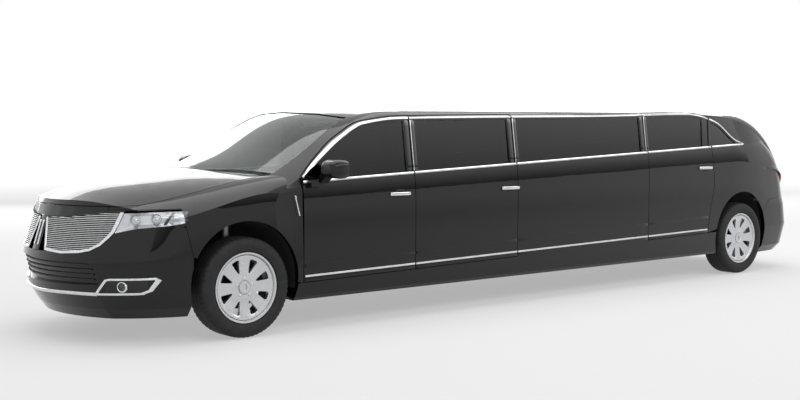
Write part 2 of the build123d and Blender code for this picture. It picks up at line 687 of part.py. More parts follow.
# Pillars behind the doors, from sill to roof, with a short post at either end
PILLAR_HALF = 48.0
HINGE_HEIGHTS = [560.0, 940.0]
HINGE_HIGH = 80.0
PILLAR_STATIONS = [SECOND_SEAM_X, THIRD_SEAM_X, FOURTH_SEAM_X]
POST_TABLE = [
    # rear edge, front edge, top
    (FRONT_SEAM_X - 50, FIREWALL_X + 22, 1080.0),
    (REAR_AXLE + 470, REAR_AXLE + 560, 1290.0),
]
PILLAR_SHELL = glasshouse(FRAME_WALL + SHUT_GAP + 2) - glasshouse(FRAME_WALL + SHUT_GAP + PILLAR_WALL)
PILLAR_HEAD = glasshouse(FRAME_WALL + SEAT_FIT) - glasshouse(FRAME_WALL + SHUT_GAP + PILLAR_WALL)


def pillar_block(x_rear, x_front, y_from, y_to, z_from, z_to):
    """Block on the sill's sloping top, or between two heights above the belt."""
    low_rear = foot(x_rear) - SHUT_GAP + SEAT_FIT if z_from is None else z_from
    low_front = foot(x_front) - SHUT_GAP + SEAT_FIT if z_from is None else z_from
    corners = [(x_rear, low_rear), (x_rear, z_to), (x_front, z_to), (x_front, low_front)]
    return side_prism(corners, y_from, y_to)


pillars = []
for x in PILLAR_STATIONS:
    x_rear, x_front = x - PILLAR_HALF, x + PILLAR_HALF
    with BuildPart() as pillar:
        add(pillar_block(x_rear, x_front, PILLAR_INNER_Y, PILLAR_OUTER_Y, None, belt(x) + 90))
        add(PILLAR_SHELL & pillar_block(x_rear, x_front, 600, 1000, belt(x) + 10, 2000))
        add(PILLAR_HEAD & pillar_block(x_rear, x_front, 690, FRAME_INNER_Y - 20, 1500, 2000))
        add(box(x - 99, x + 99, 0, 690, 1100, 2000), mode=Mode.SUBTRACT)
    pillars.append(pillar.part)
for x_rear, x_front, z_top in POST_TABLE:
    pillars.append(pillar_block(x_rear, x_front, PILLAR_INNER_Y, PILLAR_OUTER_Y, None, z_top))
HINGE_TABLE = [
    # pillar, seam of the door it carries
    (0, SECOND_SEAM_X),
    (2, FOURTH_SEAM_X),
    (3, FRONT_SEAM_X),
]
for number, seam in HINGE_TABLE:
    for z in HINGE_HEIGHTS:
        leaf = box(seam - 42, seam - 14, PILLAR_OUTER_Y - 4, DOOR_INNER_Y - SEAT_FIT, z, z + HINGE_HIGH)
        pillars[number] = pillars[number] + leaf
save(Compound([*pillars, *[mirror(post, about=Plane.XZ) for post in pillars]]), "pillars")

# Floor, boot floor, rails and front panel
with BuildPart() as floor_pan:
    add(box(REAR_AXLE + 475, FIREWALL_X + 22, -FLOOR_HALF, FLOOR_HALF, FLOOR_Z, FLOOR_Z + FLOOR_WALL))
    add(box(FIREWALL_X, FIREWALL_X + 70, -RAIL_Y - 60, RAIL_Y + 60, FLOOR_Z, FLOOR_Z + FLOOR_WALL))
    add(box(REAR_AXLE + 475, REAR_AXLE + 503, -FLOOR_HALF, FLOOR_HALF, FLOOR_Z, BOOT_FLOOR_Z + FLOOR_WALL))
    add(box(TAIL_X + 180, REAR_AXLE + 503, -496.7, 496.7, BOOT_FLOOR_Z, BOOT_FLOOR_Z + FLOOR_WALL))
    add(box(TAIL_X + 180, REAR_AXLE - 470, -760, 760, BOOT_FLOOR_Z, BOOT_FLOOR_Z + FLOOR_WALL))
    for side in (-1, 1):
        y_a, y_b = side * RAIL_Y - RAIL_WIDTH / 2, side * RAIL_Y + RAIL_WIDTH / 2
        add(box(FIREWALL_X + 22 + SEAT_FIT, NOSE_X - 280, y_a, y_b, FLOOR_Z, FLOOR_Z + RAIL_HIGH))
    add(box(NOSE_X - 300, NOSE_X - 270, -480, 480, FLOOR_Z, 880))
    add(lower_body(PANEL_WALL + 0.8) & box(NOSE_X - 280, FAR, -440, 440, 490, 590))
    for y in (-300, 300):
        add(post(NOSE_X - 285, y, 860, 2000, 12) & bonnet_top(BONNET_WALL + SEAT_FIT))
save(floor_pan.part, "floor_pan")

# Wheel wells
well_shells = []
for axle in (FRONT_AXLE, REAR_AXLE):
    with BuildPart() as well:
        with BuildSketch(Plane.XZ.offset(-ARCH_INNER_Y)):
            with Locations((axle, TYRE_R + ARCH_LIFT)):
                Circle(ARCH_R + ARCH_WALL)
                Circle(ARCH_R, mode=Mode.SUBTRACT)
        extrude(amount=-500)
        with BuildSketch(Plane.XZ.offset(-ARCH_INNER_Y + ARCH_WALL)):
            with Locations((axle, TYRE_R + ARCH_LIFT)):
                Circle(ARCH_R + ARCH_WALL)
        extrude(amount=-ARCH_WALL)
        add(box(axle - 600, axle + 600, 0, 1200, 0, 330), mode=Mode.SUBTRACT)
        add(box(axle - 300, axle + 300, 0, ARCH_INNER_Y + 1, 0, 470), mode=Mode.SUBTRACT)
    liner = well.part & lower_body(PANEL_WALL + 0.8)
    well_shells += [liner, mirror(liner, about=Plane.XZ)]
save(Compound(well_shells), "wheel_wells")


# Wheels: rim with spokes, hub and disc, and a hollow tyre
def wheel_rim():
    """Left rim round the origin, its outer face towards +Y."""
    half = RIM_WIDTH / 2
    with BuildPart() as rim:
        with BuildSketch(Plane.YZ):
            with BuildLine():
                Polyline(
                    (-half, RIM_R),
                    (-half + 5, RIM_R),
                    (-half + 5.5, TYRE_BEAD_R),
                    (half - 5.5, TYRE_BEAD_R),
                    (half - 5, RIM_R),
                    (half, RIM_R),
                    (half, TYRE_BEAD_R - RIM_WALL),
                    (-half, TYRE_BEAD_R - RIM_WALL),
                    close=True,
                )
            make_face()
            with BuildLine():
                Polyline(
                    (74, 0),
                    (74, HUB_R),
                    (66, HUB_R + 30),
                    (72, 200),
                    (half - 6, TYRE_BEAD_R - RIM_WALL + 2),
                    (half - 32, TYRE_BEAD_R - RIM_WALL + 2),
                    (46, 195),
                    (40, HUB_R),
                    (-8, HUB_R),
                    (-12, DISC_R),
                    (-36, DISC_R),
                    (-36, HUB_R),
                    (-42, HUB_R),
                    (-42, 0),
                    close=True,
                )
            make_face()
        revolve(axis=Axis.Y)
        with BuildSketch(Plane.XZ.offset(-30)):
            with PolarLocations(165, SPOKES, start_angle=180 / SPOKES):
                Polygon((-62, -17), (-62, 17), (58, 62), (68, 0), (58, -62), align=None)
        extrude(amount=-100, mode=Mode.SUBTRACT)
        with BuildSketch(Plane.XZ.offset(50)):
            Circle(SPINDLE_R + SPINDLE_FIT)
        extrude(amount=-90, mode=Mode.SUBTRACT)
    return rim.part


def wheel_tyre():
    """Hollow tyre round the origin."""
    half, bead = TYRE_WIDTH / 2, RIM_WIDTH / 2 - 5.8
    low, wall = TYRE_BEAD_R + SEAT_FIT, TYRE_WALL
    with BuildPart() as tyre:
        with BuildSketch(Plane.YZ):
            with BuildLine():
                Polyline(
                    (-bead, low),
                    (-bead, RIM_R + FLANGE_CLEAR),
                    (-half + 4, 276),
                    (-half, 310),
                    (-half + 10, 350),
                    (-half + 30, TYRE_R),
                    (0, TYRE_R),
                    (0, TYRE_R - wall),
                    (-half + 38, TYRE_R - wall - 3),
                    (-half + wall, 306),
                    (-bead + wall, low),
                    close=True,
                )
            make_face()
            mirror(about=Plane.YZ)
        revolve(axis=Axis.Y)
    return tyre.part


RIM, TYRE = wheel_rim(), wheel_tyre()
WHEEL_TABLE = [
    # name, axle, side
    ("front_left", FRONT_AXLE, 1),
    ("front_right", FRONT_AXLE, -1),
    ("rear_left", REAR_AXLE, 1),
    ("rear_right", REAR_AXLE, -1),
]
for wheel_name, axle, side in WHEEL_TABLE:
    rim, tyre = (RIM, TYRE) if side > 0 else (mirror(RIM, about=Plane.XZ), mirror(TYRE, about=Plane.XZ))
    save(Pos(axle, side * WHEEL_Y, TYRE_R) * rim, f"rim_{wheel_name}")
    save(Pos(axle, side * WHEEL_Y, TYRE_R) * tyre, f"tyre_{wheel_name}")


# Front axle with arms, struts and kingpins
ARM_TOP = 280.0
SPINDLE_END = WHEEL_Y + 40 - SPINDLE_FIT
with BuildPart() as front_axle:
    add(box(FRONT_AXLE - 70, FRONT_AXLE + 70, -470, 470, 236, FLOOR_Z - SEAT_FIT))
    for side in (1, -1):
        arm = [
            (FRONT_AXLE - 70, side * 460),
            (FRONT_AXLE - 34, side * (KINGPIN_Y + 10)),
            (FRONT_AXLE, side * (KINGPIN_Y + 32)),
            (FRONT_AXLE + 34, side * (KINGPIN_Y + 10)),
            (FRONT_AXLE + 70, side * 460),
        ]
        add(plan_prism(arm, 250, ARM_TOP))
        add(post(FRONT_AXLE, side * KINGPIN_Y, ARM_TOP - 5, 466, KINGPIN_R))
        add(post(FRONT_AXLE, side * 636, ARM_TOP - 5, 700, 26))
        add(post(FRONT_AXLE, side * 636, 480, 830, 34))
save(front_axle.part, "front_axle")

# Knuckles with spindle, arm and caliper
with BuildPart() as knuckle:
    add(post(FRONT_AXLE, KINGPIN_Y, ARM_TOP + SPINDLE_FIT, 458, 36))
    add(rod(FRONT_AXLE, KINGPIN_Y, WHEEL_Y - 48, TYRE_R, 58))
    add(rod(FRONT_AXLE, KINGPIN_Y, SPINDLE_END, TYRE_R, SPINDLE_R))
    add(box(FRONT_AXLE - 130, FRONT_AXLE, WHEEL_Y - 64, WHEEL_Y - 42, 345, 415))
    add(box(FRONT_AXLE - 196, FRONT_AXLE - 104, WHEEL_Y - 64, WHEEL_Y + 6, 325, 435))
    with BuildSketch(Plane.XZ.offset(-(WHEEL_Y - 42))):
        with Locations((FRONT_AXLE, TYRE_R)):
            Circle(DISC_R + CALIPER_GAP)
    extrude(amount=-36, mode=Mode.SUBTRACT)
    add(rod(FRONT_AXLE, KINGPIN_Y, SPINDLE_END, TYRE_R, SPINDLE_R))
    add(post(FRONT_AXLE, KINGPIN_Y, 0, 600, KINGPIN_R + SPINDLE_FIT), mode=Mode.SUBTRACT)
save(knuckle.part, "knuckle_left")
save(mirror(knuckle.part, about=Plane.XZ), "knuckle_right")

# Rear axle with its centre casing, hangers, spindles and calipers
with BuildPart() as rear_axle:
    add(rod(REAR_AXLE, -(WHEEL_Y - 60), WHEEL_Y - 60, TYRE_R, 46))
    add(rod(REAR_AXLE, -SPINDLE_END, SPINDLE_END, TYRE_R, SPINDLE_R))
    add(rod(REAR_AXLE, -110, 110, TYRE_R, 118))
    for side in (1, -1):
        add(box(REAR_AXLE - 45, REAR_AXLE + 45, side * 400 - 35, side * 400 + 35, TYRE_R, BOOT_FLOOR_Z - SEAT_FIT))
        with BuildPart(mode=Mode.PRIVATE) as caliper:
            add(box(REAR_AXLE, REAR_AXLE + 130, WHEEL_Y - 76, WHEEL_Y - 54, 345, 415))
            add(box(REAR_AXLE + 104, REAR_AXLE + 196, WHEEL_Y - 76, WHEEL_Y + 6, 325, 435))
            add(rod(REAR_AXLE, WHEEL_Y - 42, WHEEL_Y - 6, TYRE_R, DISC_R + CALIPER_GAP), mode=Mode.SUBTRACT)
            add(rod(REAR_AXLE, WHEEL_Y - 54, WHEEL_Y - 42, TYRE_R, HUB_R + 8), mode=Mode.SUBTRACT)
        add(caliper.part if side > 0 else mirror(caliper.part, about=Plane.XZ))
save(rear_axle.part, "rear_axle")

# Engine
save(box(FRONT_AXLE - 110, FRONT_AXLE + 590, -395, 395, FLOOR_Z + RAIL_HIGH + SEAT_FIT, 960), "engine")

# Dashboard with steering column, and steering wheel
WHEEL_TILT = 26.0
WHEEL_CENTRE = (FRONT_AXLE - 870, 380.0, 930.0)
COLUMN = Plane(WHEEL_CENTRE, x_dir=(0, 1, 0), z_dir=(-cos(radians(WHEEL_TILT)), 0, sin(radians(WHEEL_TILT))))
with BuildPart() as dashboard:
    dash_outline = [
        (FIREWALL_X - SEAT_FIT, 760),
        (FIREWALL_X - SEAT_FIT, 1090),
        (FIREWALL_X - 60, 1110),
        (FIREWALL_X - 260, 1060),
        (FIREWALL_X - 310, 980),
        (FIREWALL_X - 250, 860),
        (FIREWALL_X - 120, 760),
    ]
    add(side_prism(dash_outline, -700, 700))
    fillet(dashboard.edges().filter_by(Axis.Y).group_by(Axis.X)[0], 30)
    with BuildSketch(COLUMN.offset(-40)):
        Circle(26)
    extrude(amount=-150)
save(dashboard.part, "dashboard")
with BuildPart() as steering_wheel:
    with BuildSketch(Plane(COLUMN.origin, x_dir=COLUMN.z_dir, z_dir=COLUMN.x_dir)):
        with Locations((0, 178)):
            RegularPolygon(15, 8)
    revolve(axis=Axis(COLUMN.origin, COLUMN.z_dir))
    with BuildSketch(COLUMN.offset(-39.5)):
        Circle(44)
    extrude(amount=46)
    with BuildSketch(COLUMN.offset(-12)):
        with Locations(Location((0, 0, 0), (0, 0, 0)), Location((0, 0, 0), (0, 0, 180)), Location((0, 0, 0), (0, 0, 270))):
            Rectangle(178, 34, align=(Align.MIN, Align.CENTER))
    extrude(amount=16)
save(steering_wheel.part, "steering_wheel")

# Door mirrors, each head on a foot that rests on the front door
MIRROR_Y = 1088.0
MIRROR_Z = 1222.0
MIRROR_TABLE = [
    # x, width, height, corner radius
    (FRONT_SEAM_X - 262, 190.0, 132.0, 44.0),
    (FRONT_SEAM_X - 200, 206.0, 142.0, 50.0),
    (FRONT_SEAM_X - 140, 178.0, 118.0, 48.0),
    (FRONT_SEAM_X - 112, 116.0, 70.0, 30.0),
]
with BuildPart() as mirror_head:
    for x, wide, high, corner in MIRROR_TABLE:
        with BuildSketch(Plane((x, MIRROR_Y, MIRROR_Z), x_dir=(0, 1, 0), z_dir=(1, 0, 0))):
            RectangleRounded(wide, high, corner)
    loft()
    add(box(FRONT_SEAM_X - 160, FRONT_SEAM_X - 52, 940, 990, 1086, 1140))
    foot_arm = [(940, 1112), (990, 1112), (1075, 1170), (1075, 1200), (1010, 1200), (975, 1140), (940, 1140)]
    add(front_prism(foot_arm, FRONT_SEAM_X - 200, FRONT_SEAM_X - 130))
    add(lower_body(-SEAT_FIT) + glasshouse(-SEAT_FIT - GLASS_SET), mode=Mode.SUBTRACT)
save(mirror_head.part, "door_mirror_left")
save(mirror(mirror_head.part, about=Plane.XZ), "door_mirror_right")

# Seats
FLOOR_TOP = FLOOR_Z + FLOOR_WALL + SEAT_FIT
FRONT_SEAT = [
    (0, 0),
    (470, 0),
    (520, 240),
    (500, 300),
    (130, 270),
    (40, 820),
    (10, 980),
    (-70, 990),
    (-60, 800),
    (-20, 200),
]
seats = []
for y in (-380, 380):
    outline = [(FRONT_AXLE - 1500 + a, FLOOR_TOP + b) for a, b in FRONT_SEAT]
    seats.append(side_prism(outline, y - 250, y + 250))
save(Compound(seats), "front_seats")
BENCH = [(0, 0), (560, 0), (580, 130), (600, 330), (560, 400), (170, 370), (90, 880), (-30, 880), (-20, 300)]
benches = []
outline = [(REAR_AXLE + 560 + a, FLOOR_TOP + b) for a, b in BENCH]
benches.append(side_prism(outline, -735, 735))
outline = [(THIRD_SEAM_X + 1040 - a, FLOOR_TOP + b) for a, b in BENCH]
benches.append(side_prism(outline, -735, 735))
SIDE_BENCH = [(-735, 0), (-250, 0), (-225, 130), (-205, 330), (-240, 400), (-600, 370), (-640, 800), (-735, 800)]
outline = [(a, FLOOR_TOP + b) for a, b in SIDE_BENCH]
benches.append(front_prism(outline, REAR_AXLE + 1200, THIRD_SEAM_X - 20))
save(Compound(benches), "lounge_seats")

# Bar cabinet and the partition behind the front seats
save(box(FOURTH_SEAM_X + 250, THIRD_SEAM_X - 120, 500, 740, FLOOR_TOP, FLOOR_TOP + 540), "bar_cabinet")
with BuildPart() as partition:
    wall = box(SECOND_SEAM_X - 45, SECOND_SEAM_X - 10, -762, 762, FLOOR_TOP, 3000)
    add(wall & glasshouse(FRAME_WALL + SHUT_GAP + PILLAR_WALL + 2))
    add(box(SECOND_SEAM_X - 45, SECOND_SEAM_X - 10, -762, 762, FLOOR_TOP, 1100))
    add(box(SECOND_SEAM_X - 99, SECOND_SEAM_X + 99, -600, 600, 1120, 1500), mode=Mode.SUBTRACT)
save(partition.part, "partition")
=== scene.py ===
# %% [markdown]
# # A stretch limousine, finished
# The frame holds the car's solid panels, wheels, glass and furniture at their real size. This lesson
# gives each of them a real finish and adds what a solid model leaves out: bright trim, lamps, tyre
# tread, padded seats, handles and a rear wiper. X points to the nose, Y to the car's left, Z up, in metres.

import json
from math import atan2, cos, pi, radians, sin

import bmesh
import bpy
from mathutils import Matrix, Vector
from mathutils.bvhtree import BVHTree


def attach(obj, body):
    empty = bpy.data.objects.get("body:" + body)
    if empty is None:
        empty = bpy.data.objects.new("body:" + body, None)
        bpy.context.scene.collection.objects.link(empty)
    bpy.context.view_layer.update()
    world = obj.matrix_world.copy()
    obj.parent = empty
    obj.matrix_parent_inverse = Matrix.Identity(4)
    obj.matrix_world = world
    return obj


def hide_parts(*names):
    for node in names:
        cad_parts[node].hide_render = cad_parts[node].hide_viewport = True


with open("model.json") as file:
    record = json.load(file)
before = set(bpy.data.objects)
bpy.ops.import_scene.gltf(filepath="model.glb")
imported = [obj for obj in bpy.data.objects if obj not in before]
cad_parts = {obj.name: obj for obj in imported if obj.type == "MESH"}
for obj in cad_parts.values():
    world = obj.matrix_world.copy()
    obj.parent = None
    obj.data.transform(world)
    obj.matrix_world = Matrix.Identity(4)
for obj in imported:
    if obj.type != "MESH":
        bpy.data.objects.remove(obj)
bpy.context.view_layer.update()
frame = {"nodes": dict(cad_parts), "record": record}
record = frame["record"]
nodes = frame["nodes"]
body_of_node = {node: body for body, group in record["behaviour"]["bodies"].items() for node in group}

# %% [markdown]
# ## Sizes that the trim follows
# The belt under the windows climbs gently to the rear, and so do the sill and the crease in the doors.
# The trim is laid along the same lines as the panels, so the belt and the arch over the windows are written
# once here as functions.

# %% Lines along the car's side
FRONT_AXLE, REAR_AXLE, WHEEL_Y, TYRE_R = 2.980, -3.063, 0.832, 0.370
FRONT_SEAM, SECOND_SEAM, THIRD_SEAM, FOURTH_SEAM, REAR_SEAM = 2.492, 1.398, 0.240, -1.530, -2.528
ARCH_KNOTS = [
    (2.496, 1.150),
    (2.322, 1.292),
    (2.096, 1.456),
    (1.857, 1.572),
    (1.499, 1.612),
    (-0.903, 1.640),
    (-2.251, 1.664),
    (-2.672, 1.590),
    (-2.992, 1.404),
    (-3.112, 1.366),
]


def belt(x):
    """Height of the lower edge of the side windows."""
    return 1.135 + 0.0408 * (FRONT_SEAM - x)


def smooth_line(knots, steps):
    """Points on a smooth line through the knots that turns nowhere between them."""
    slopes = [(zb - za) / (xb - xa) for (xa, za), (xb, zb) in zip(knots, knots[1:])]
    leans = [slopes[0]]
    for before, after in zip(slopes, slopes[1:]):
        leans.append(2 * before * after / (before + after) if before * after > 0 else 0)
    leans.append(slopes[-1])
    points = []
    for (xa, za), (xb, zb), lean_a, lean_b in zip(knots, knots[1:], leans, leans[1:]):
        span = xb - xa
        for step in range(steps):
            t = step / steps
            z = za * (1 + 2 * t) * (1 - t) ** 2 + span * lean_a * t * (1 - t) ** 2
            z += zb * t * t * (3 - 2 * t) - span * lean_b * t * t * (1 - t)
            points.append((xa + span * t, z))
    return [*points, knots[-1]]


ARCH = smooth_line(ARCH_KNOTS, 8)


def arch(x):
    """Height of the bright arch over the side windows."""
    for (xa, za), (xb, zb) in zip(ARCH, ARCH[1:]):
        if xb <= x <= xa:
            return za + (zb - za) * (xa - x) / (xa - xb)
    return ARCH[0][1] if x > ARCH[0][0] else ARCH[-1][1]


# %% [markdown]
# ## Colour and node helpers
# Colours are picked as sRGB hex values, as on a screen, and one function turns them to the linear
# numbers that shaders want. One small function adds any node, sets it and links it.


# %% Colour and node helpers
def colour(hex_value):
    """Linear RGBA of an sRGB hex value."""
    parts = [int(hex_value[i : i + 2], 16) / 255 for i in (1, 3, 5)]
    return [p / 12.92 if p <= 0.04045 else ((p + 0.055) / 1.055) ** 2.4 for p in parts] + [1.0]


def add(tree, kind, inputs=(), **settings):
    """Adds a node. inputs holds (socket, value or output socket) pairs."""
    node = tree.nodes.new(kind)
    for key, value in settings.items():
        setattr(node, key, value)
    for socket, value in inputs:
        if isinstance(value, bpy.types.NodeSocket):
            tree.links.new(value, node.inputs[socket])
        else:
            node.inputs[socket].default_value = value
    return node


def material(name, base, roughness, metallic=0.0, **sockets):
    """A new material, its node tree and its Principled shader, with uniform values set directly."""
    made = bpy.data.materials.new(name)
    made.use_nodes = True
    tree = made.node_tree
    shader = tree.nodes["Principled BSDF"]
    shader.inputs["Base Color"].default_value = colour(base)
    shader.inputs["Roughness"].default_value = roughness
    shader.inputs["Metallic"].default_value = metallic
    for key, value in sockets.items():
        shader.inputs[key.replace("_", " ")].default_value = value
    return made, tree, shader


def grain(tree, scale, detail=2.0, stretch=(1, 1, 1), coordinates="Object"):
    """Noise in metres: scale is in grains a metre."""
    place = add(tree, "ShaderNodeTexCoord").outputs[coordinates]
    mapping = add(tree, "ShaderNodeMapping", [("Vector", place), ("Scale", stretch)])
    vector = mapping.outputs["Vector"]
    return add(tree, "ShaderNodeTexNoise", [("Vector", vector), ("Scale", scale), ("Detail", detail)])


def bump(tree, shader, height, strength, distance, socket="Normal"):
    """Relief on a shader's normal, distance in metres."""
    node = add(tree, "ShaderNodeBump", [("Height", height), ("Strength", strength), ("Distance", distance)])
    tree.links.new(node.outputs["Normal"], shader.inputs[socket])


def spread(tree, value, low, high, start=0.35, end=0.65):
    """Maps a noise value from start..end to low..high."""
    pairs = [("Value", value), ("From Min", start), ("From Max", end), ("To Min", low), ("To Max", high)]
    return add(tree, "ShaderNodeMapRange", pairs).outputs["Result"]


def two_tone(tree, value, first, second, start=0.35, end=0.65):
    """Blends two hex colours by a value."""
    ramp = add(tree, "ShaderNodeValToRGB", [("Fac", value)])
    for stop, place, hex_value in zip(ramp.color_ramp.elements, (start, end), (first, second)):
        stop.position, stop.color = place, colour(hex_value)
    return ramp.outputs["Color"]


# %% [markdown]
# ## The finishes
# Each finish starts from what the real material is and how its surface was made. A car's black is a
# flat colour coat under a thick clear lacquer: almost all that the eye gets from it is the lacquer's
# sharp reflection, faintly rippled by the spray.


# %% Finishes: paint, trim and bright work
def lacquered_black():
    """Sprayed base coat under clear lacquer. The lacquer ripples over about 8 mm."""
    made, tree, shader = material("clear_lacquered_black_paint", "#050506", 0.35, Coat_Weight=1.0, IOR=1.4)
    shader.inputs["Specular IOR Level"].default_value = 0.15
    shader.inputs["Coat Roughness"].default_value = 0.025
    shader.inputs["Coat IOR"].default_value = 1.36
    ripple = grain(tree, 120, 1.0)
    bump(tree, shader, ripple.outputs["Fac"], 0.06, 0.0006, "Coat Normal")
    flake = grain(tree, 900, 1.0)
    tone = two_tone(tree, flake.outputs["Fac"], "#040405", "#0B0B0D")
    tree.links.new(tone, shader.inputs["Base Color"])
    dust = grain(tree, 5, 4.0)
    tree.links.new(spread(tree, dust.outputs["Fac"], 0.30, 0.42), shader.inputs["Roughness"])
    return made


def moulded_black(name="grained_black_plastic", base="#101011", other="#1A1A1B", roughness=0.55):
    """Moulded polypropylene with a fine leather-like grain of about 1.2 mm."""
    made, tree, shader = material(name, base, roughness)
    cells = grain(tree, 850, 3.0)
    bump(tree, shader, cells.outputs["Fac"], 0.35, 0.0004)
    scuff = grain(tree, 14, 4.0)
    tree.links.new(two_tone(tree, scuff.outputs["Fac"], base, other), shader.inputs["Base Color"])
    tree.links.new(
        spread(tree, scuff.outputs["Fac"], roughness - 0.08, roughness + 0.1),
        shader.inputs["Roughness"]
    )
    return made


def piano_black():
    """Gloss-moulded pillar covers."""
    made, tree, shader = material("gloss_moulded_pillar_cover", "#0A0A0B", 0.08, Coat_Weight=0.6)
    haze = grain(tree, 30, 3.0)
    tree.links.new(spread(tree, haze.outputs["Fac"], 0.05, 0.14), shader.inputs["Roughness"])
    return made


def bright_chrome():
    """Chromium plate on moulded trim, with faint wiping marks along the car."""
    made, tree, shader = material("chromium_plate", "#D9DADC", 0.08, 1.0)
    wipe = grain(tree, 60, 3.0, (0.2, 1, 1))
    tree.links.new(spread(tree, wipe.outputs["Fac"], 0.06, 0.14), shader.inputs["Roughness"])
    tree.links.new(two_tone(tree, wipe.outputs["Fac"], "#CFD0D2", "#E4E5E6"), shader.inputs["Base Color"])
    return made


def painted_alloy():
    """Cast aluminium wheels under silver paint with a metallic flake."""
    made, tree, shader = material("silver_painted_cast_aluminium", "#C9CACC", 0.3, 0.85, Coat_Weight=0.6)
    shader.inputs["Coat Roughness"].default_value = 0.08
    flake = grain(tree, 1400, 1.0)
    tree.links.new(two_tone(tree, flake.outputs["Fac"], "#B4B5B7", "#DCDDDF"), shader.inputs["Base Color"])
    film = grain(tree, 18, 4.0)
    tree.links.new(spread(tree, film.outputs["Fac"], 0.24, 0.42), shader.inputs["Roughness"])
    return made


def machined_steel():
    """Turned brake discs and bare steel, with fine marks drawn as noise, coarser than real turning."""
    made, tree, shader = material("turned_steel", "#8E8F91", 0.35, 1.0)
    marks = grain(tree, 300, 2.0)
    tree.links.new(spread(tree, marks.outputs["Fac"], 0.25, 0.5), shader.inputs["Roughness"])
    tree.links.new(two_tone(tree, marks.outputs["Fac"], "#7B7C7E", "#A3A4A6"), shader.inputs["Base Color"])
    return made


def tyre_rubber(name="vulcanised_rubber", roughness=0.72):
    """Carbon-black rubber, slightly greyed where dust sits."""
    made, tree, shader = material(name, "#121213", roughness)
    dust = grain(tree, 22, 5.0)
    tree.links.new(two_tone(tree, dust.outputs["Fac"], "#0D0D0E", "#1C1C1C"), shader.inputs["Base Color"])
    pores = grain(tree, 1500, 2.0)
    bump(tree, shader, pores.outputs["Fac"], 0.3, 0.0002)
    return made


# %% [markdown]
# ## Glass, lamps and underbody
# Limousine side glass is dyed privacy glass: nearly black from outside, with the full sharp reflection
# of any glass. The windscreen is clear laminated glass with a faint green edge. Lamp lenses are
# injection-moulded polycarbonate, clear in front and dyed red behind.


# %% Finishes: glass, lamps, chassis
def glass(name, tint, roughness=0.0, ior=1.5, **sockets):
    """Clear or dyed glass as a closed pane. The dye is in the glass, so the tint is its base colour."""
    made, tree, shader = material(name, tint, roughness, IOR=ior, Transmission_Weight=1.0, **sockets)
    film = grain(tree, 9, 5.0)
    tree.links.new(spread(tree, film.outputs["Fac"], roughness, roughness + 0.02), shader.inputs["Roughness"])
    return made


def cast_iron():
    """Sand-cast, with a coarse skin and rusty shade in the hollows."""
    made, tree, shader = material("sand_cast_iron", "#3B3A39", 0.65, 0.7)
    skin = grain(tree, 420, 4.0)
    bump(tree, shader, skin.outputs["Fac"], 0.6, 0.0008)
    tree.links.new(two_tone(tree, skin.outputs["Fac"], "#2C2A28", "#4A4745"), shader.inputs["Base Color"])
    return made


def stone_guard():
    """Rubbery underbody coating with a pebbled skin."""
    made, tree, shader = material("sprayed_stone_guard", "#0E0E0F", 0.75)
    pebble = grain(tree, 260, 3.0)
    bump(tree, shader, pebble.outputs["Fac"], 0.7, 0.001)
    tree.links.new(two_tone(tree, pebble.outputs["Fac"], "#0B0B0C", "#171718"), shader.inputs["Base Color"])
    return made


def leather(name, base, other, roughness=0.42):
    """Pigmented hide: cells about 2 mm across with fine creases between them."""
    made, tree, shader = material(name, base, roughness, Sheen_Weight=0.15, Coat_Weight=0.08)
    shader.inputs["Coat Roughness"].default_value = 0.35
    place = add(tree, "ShaderNodeTexCoord").outputs["Object"]
    cells = add(
        tree, "ShaderNodeTexVoronoi", [("Vector", place), ("Scale", 480.0)], feature="DISTANCE_TO_EDGE"
    )
    bump(tree, shader, spread(tree, cells.outputs["Distance"], 0, 1, 0.0, 0.16), 0.45, 0.0006)
    wear = grain(tree, 12, 4.0)
    tree.links.new(two_tone(tree, wear.outputs["Fac"], base, other), shader.inputs["Base Color"])
    tree.links.new(
        spread(tree, wear.outputs["Fac"], roughness - 0.06, roughness + 0.1), shader.inputs["Roughness"]
    )
    return made


def walnut():
    """Lacquered walnut veneer, its figure drawn out along the cabinet."""
    made, tree, shader = material("lacquered_walnut_veneer", "#4A2E1D", 0.3, Coat_Weight=0.8)
    shader.inputs["Coat Roughness"].default_value = 0.06
    figure = grain(tree, 30, 5.0, (0.12, 1, 1))
    wave = add(
        tree,
        "ShaderNodeTexWave",
        [("Vector", figure.outputs["Color"]), ("Scale", 3.2), ("Distortion", 5.0), ("Detail", 3.0)],
    )
    tree.links.new(
        two_tone(tree, wave.outputs["Fac"], "#2E1A10", "#6B452B", 0.1, 0.9), shader.inputs["Base Color"]
    )
    return made


# %% Make each finish once, under its slot's name
FINISH = {
    "body_paint": lacquered_black(),
    "black_trim": moulded_black(),
    "chrome_trim": bright_chrome(),
    "lamp_clear": glass("clear_polycarbonate_lens", "#F4F6F8", 0.0, 1.58),
    "lamp_red": glass("red_dyed_polycarbonate", "#7A0A0C", 0.02, 1.58),
    "window_glass": glass("dyed_privacy_glass", "#303234", 0.0, 1.5),
    "screen_glass": glass("laminated_windscreen_glass", "#C9D2CF", 0.0, 1.52),
    "wheel_alloy": painted_alloy(),
    "tyre_rubber": tyre_rubber(),
    "chassis_steel": machined_steel(),
    "cast_parts": cast_iron(),
    "underbody": stone_guard(),
    "liner_plastic": moulded_black("pressed_arch_liner", "#0C0C0D", "#151516", 0.8),
    "dash_plastic": moulded_black("soft_touch_dashboard_skin", "#18181A", "#222224", 0.6),
    "seat_leather": leather("black_pigmented_leather", "#17171A", "#232326"),
    "cabinet_wood": walnut(),
    "partition_trim": leather("padded_wall_leather", "#1C1C1F", "#29292C", 0.5),
}
PILLAR_GLOSS = piano_black()
SLOT_OF = {row["node"]: row["material_slot"] for row in record["subparts"]}
for name, node in nodes.items():
    node.data.materials.clear()
    node.data.materials.append(FINISH[SLOT_OF[name]])
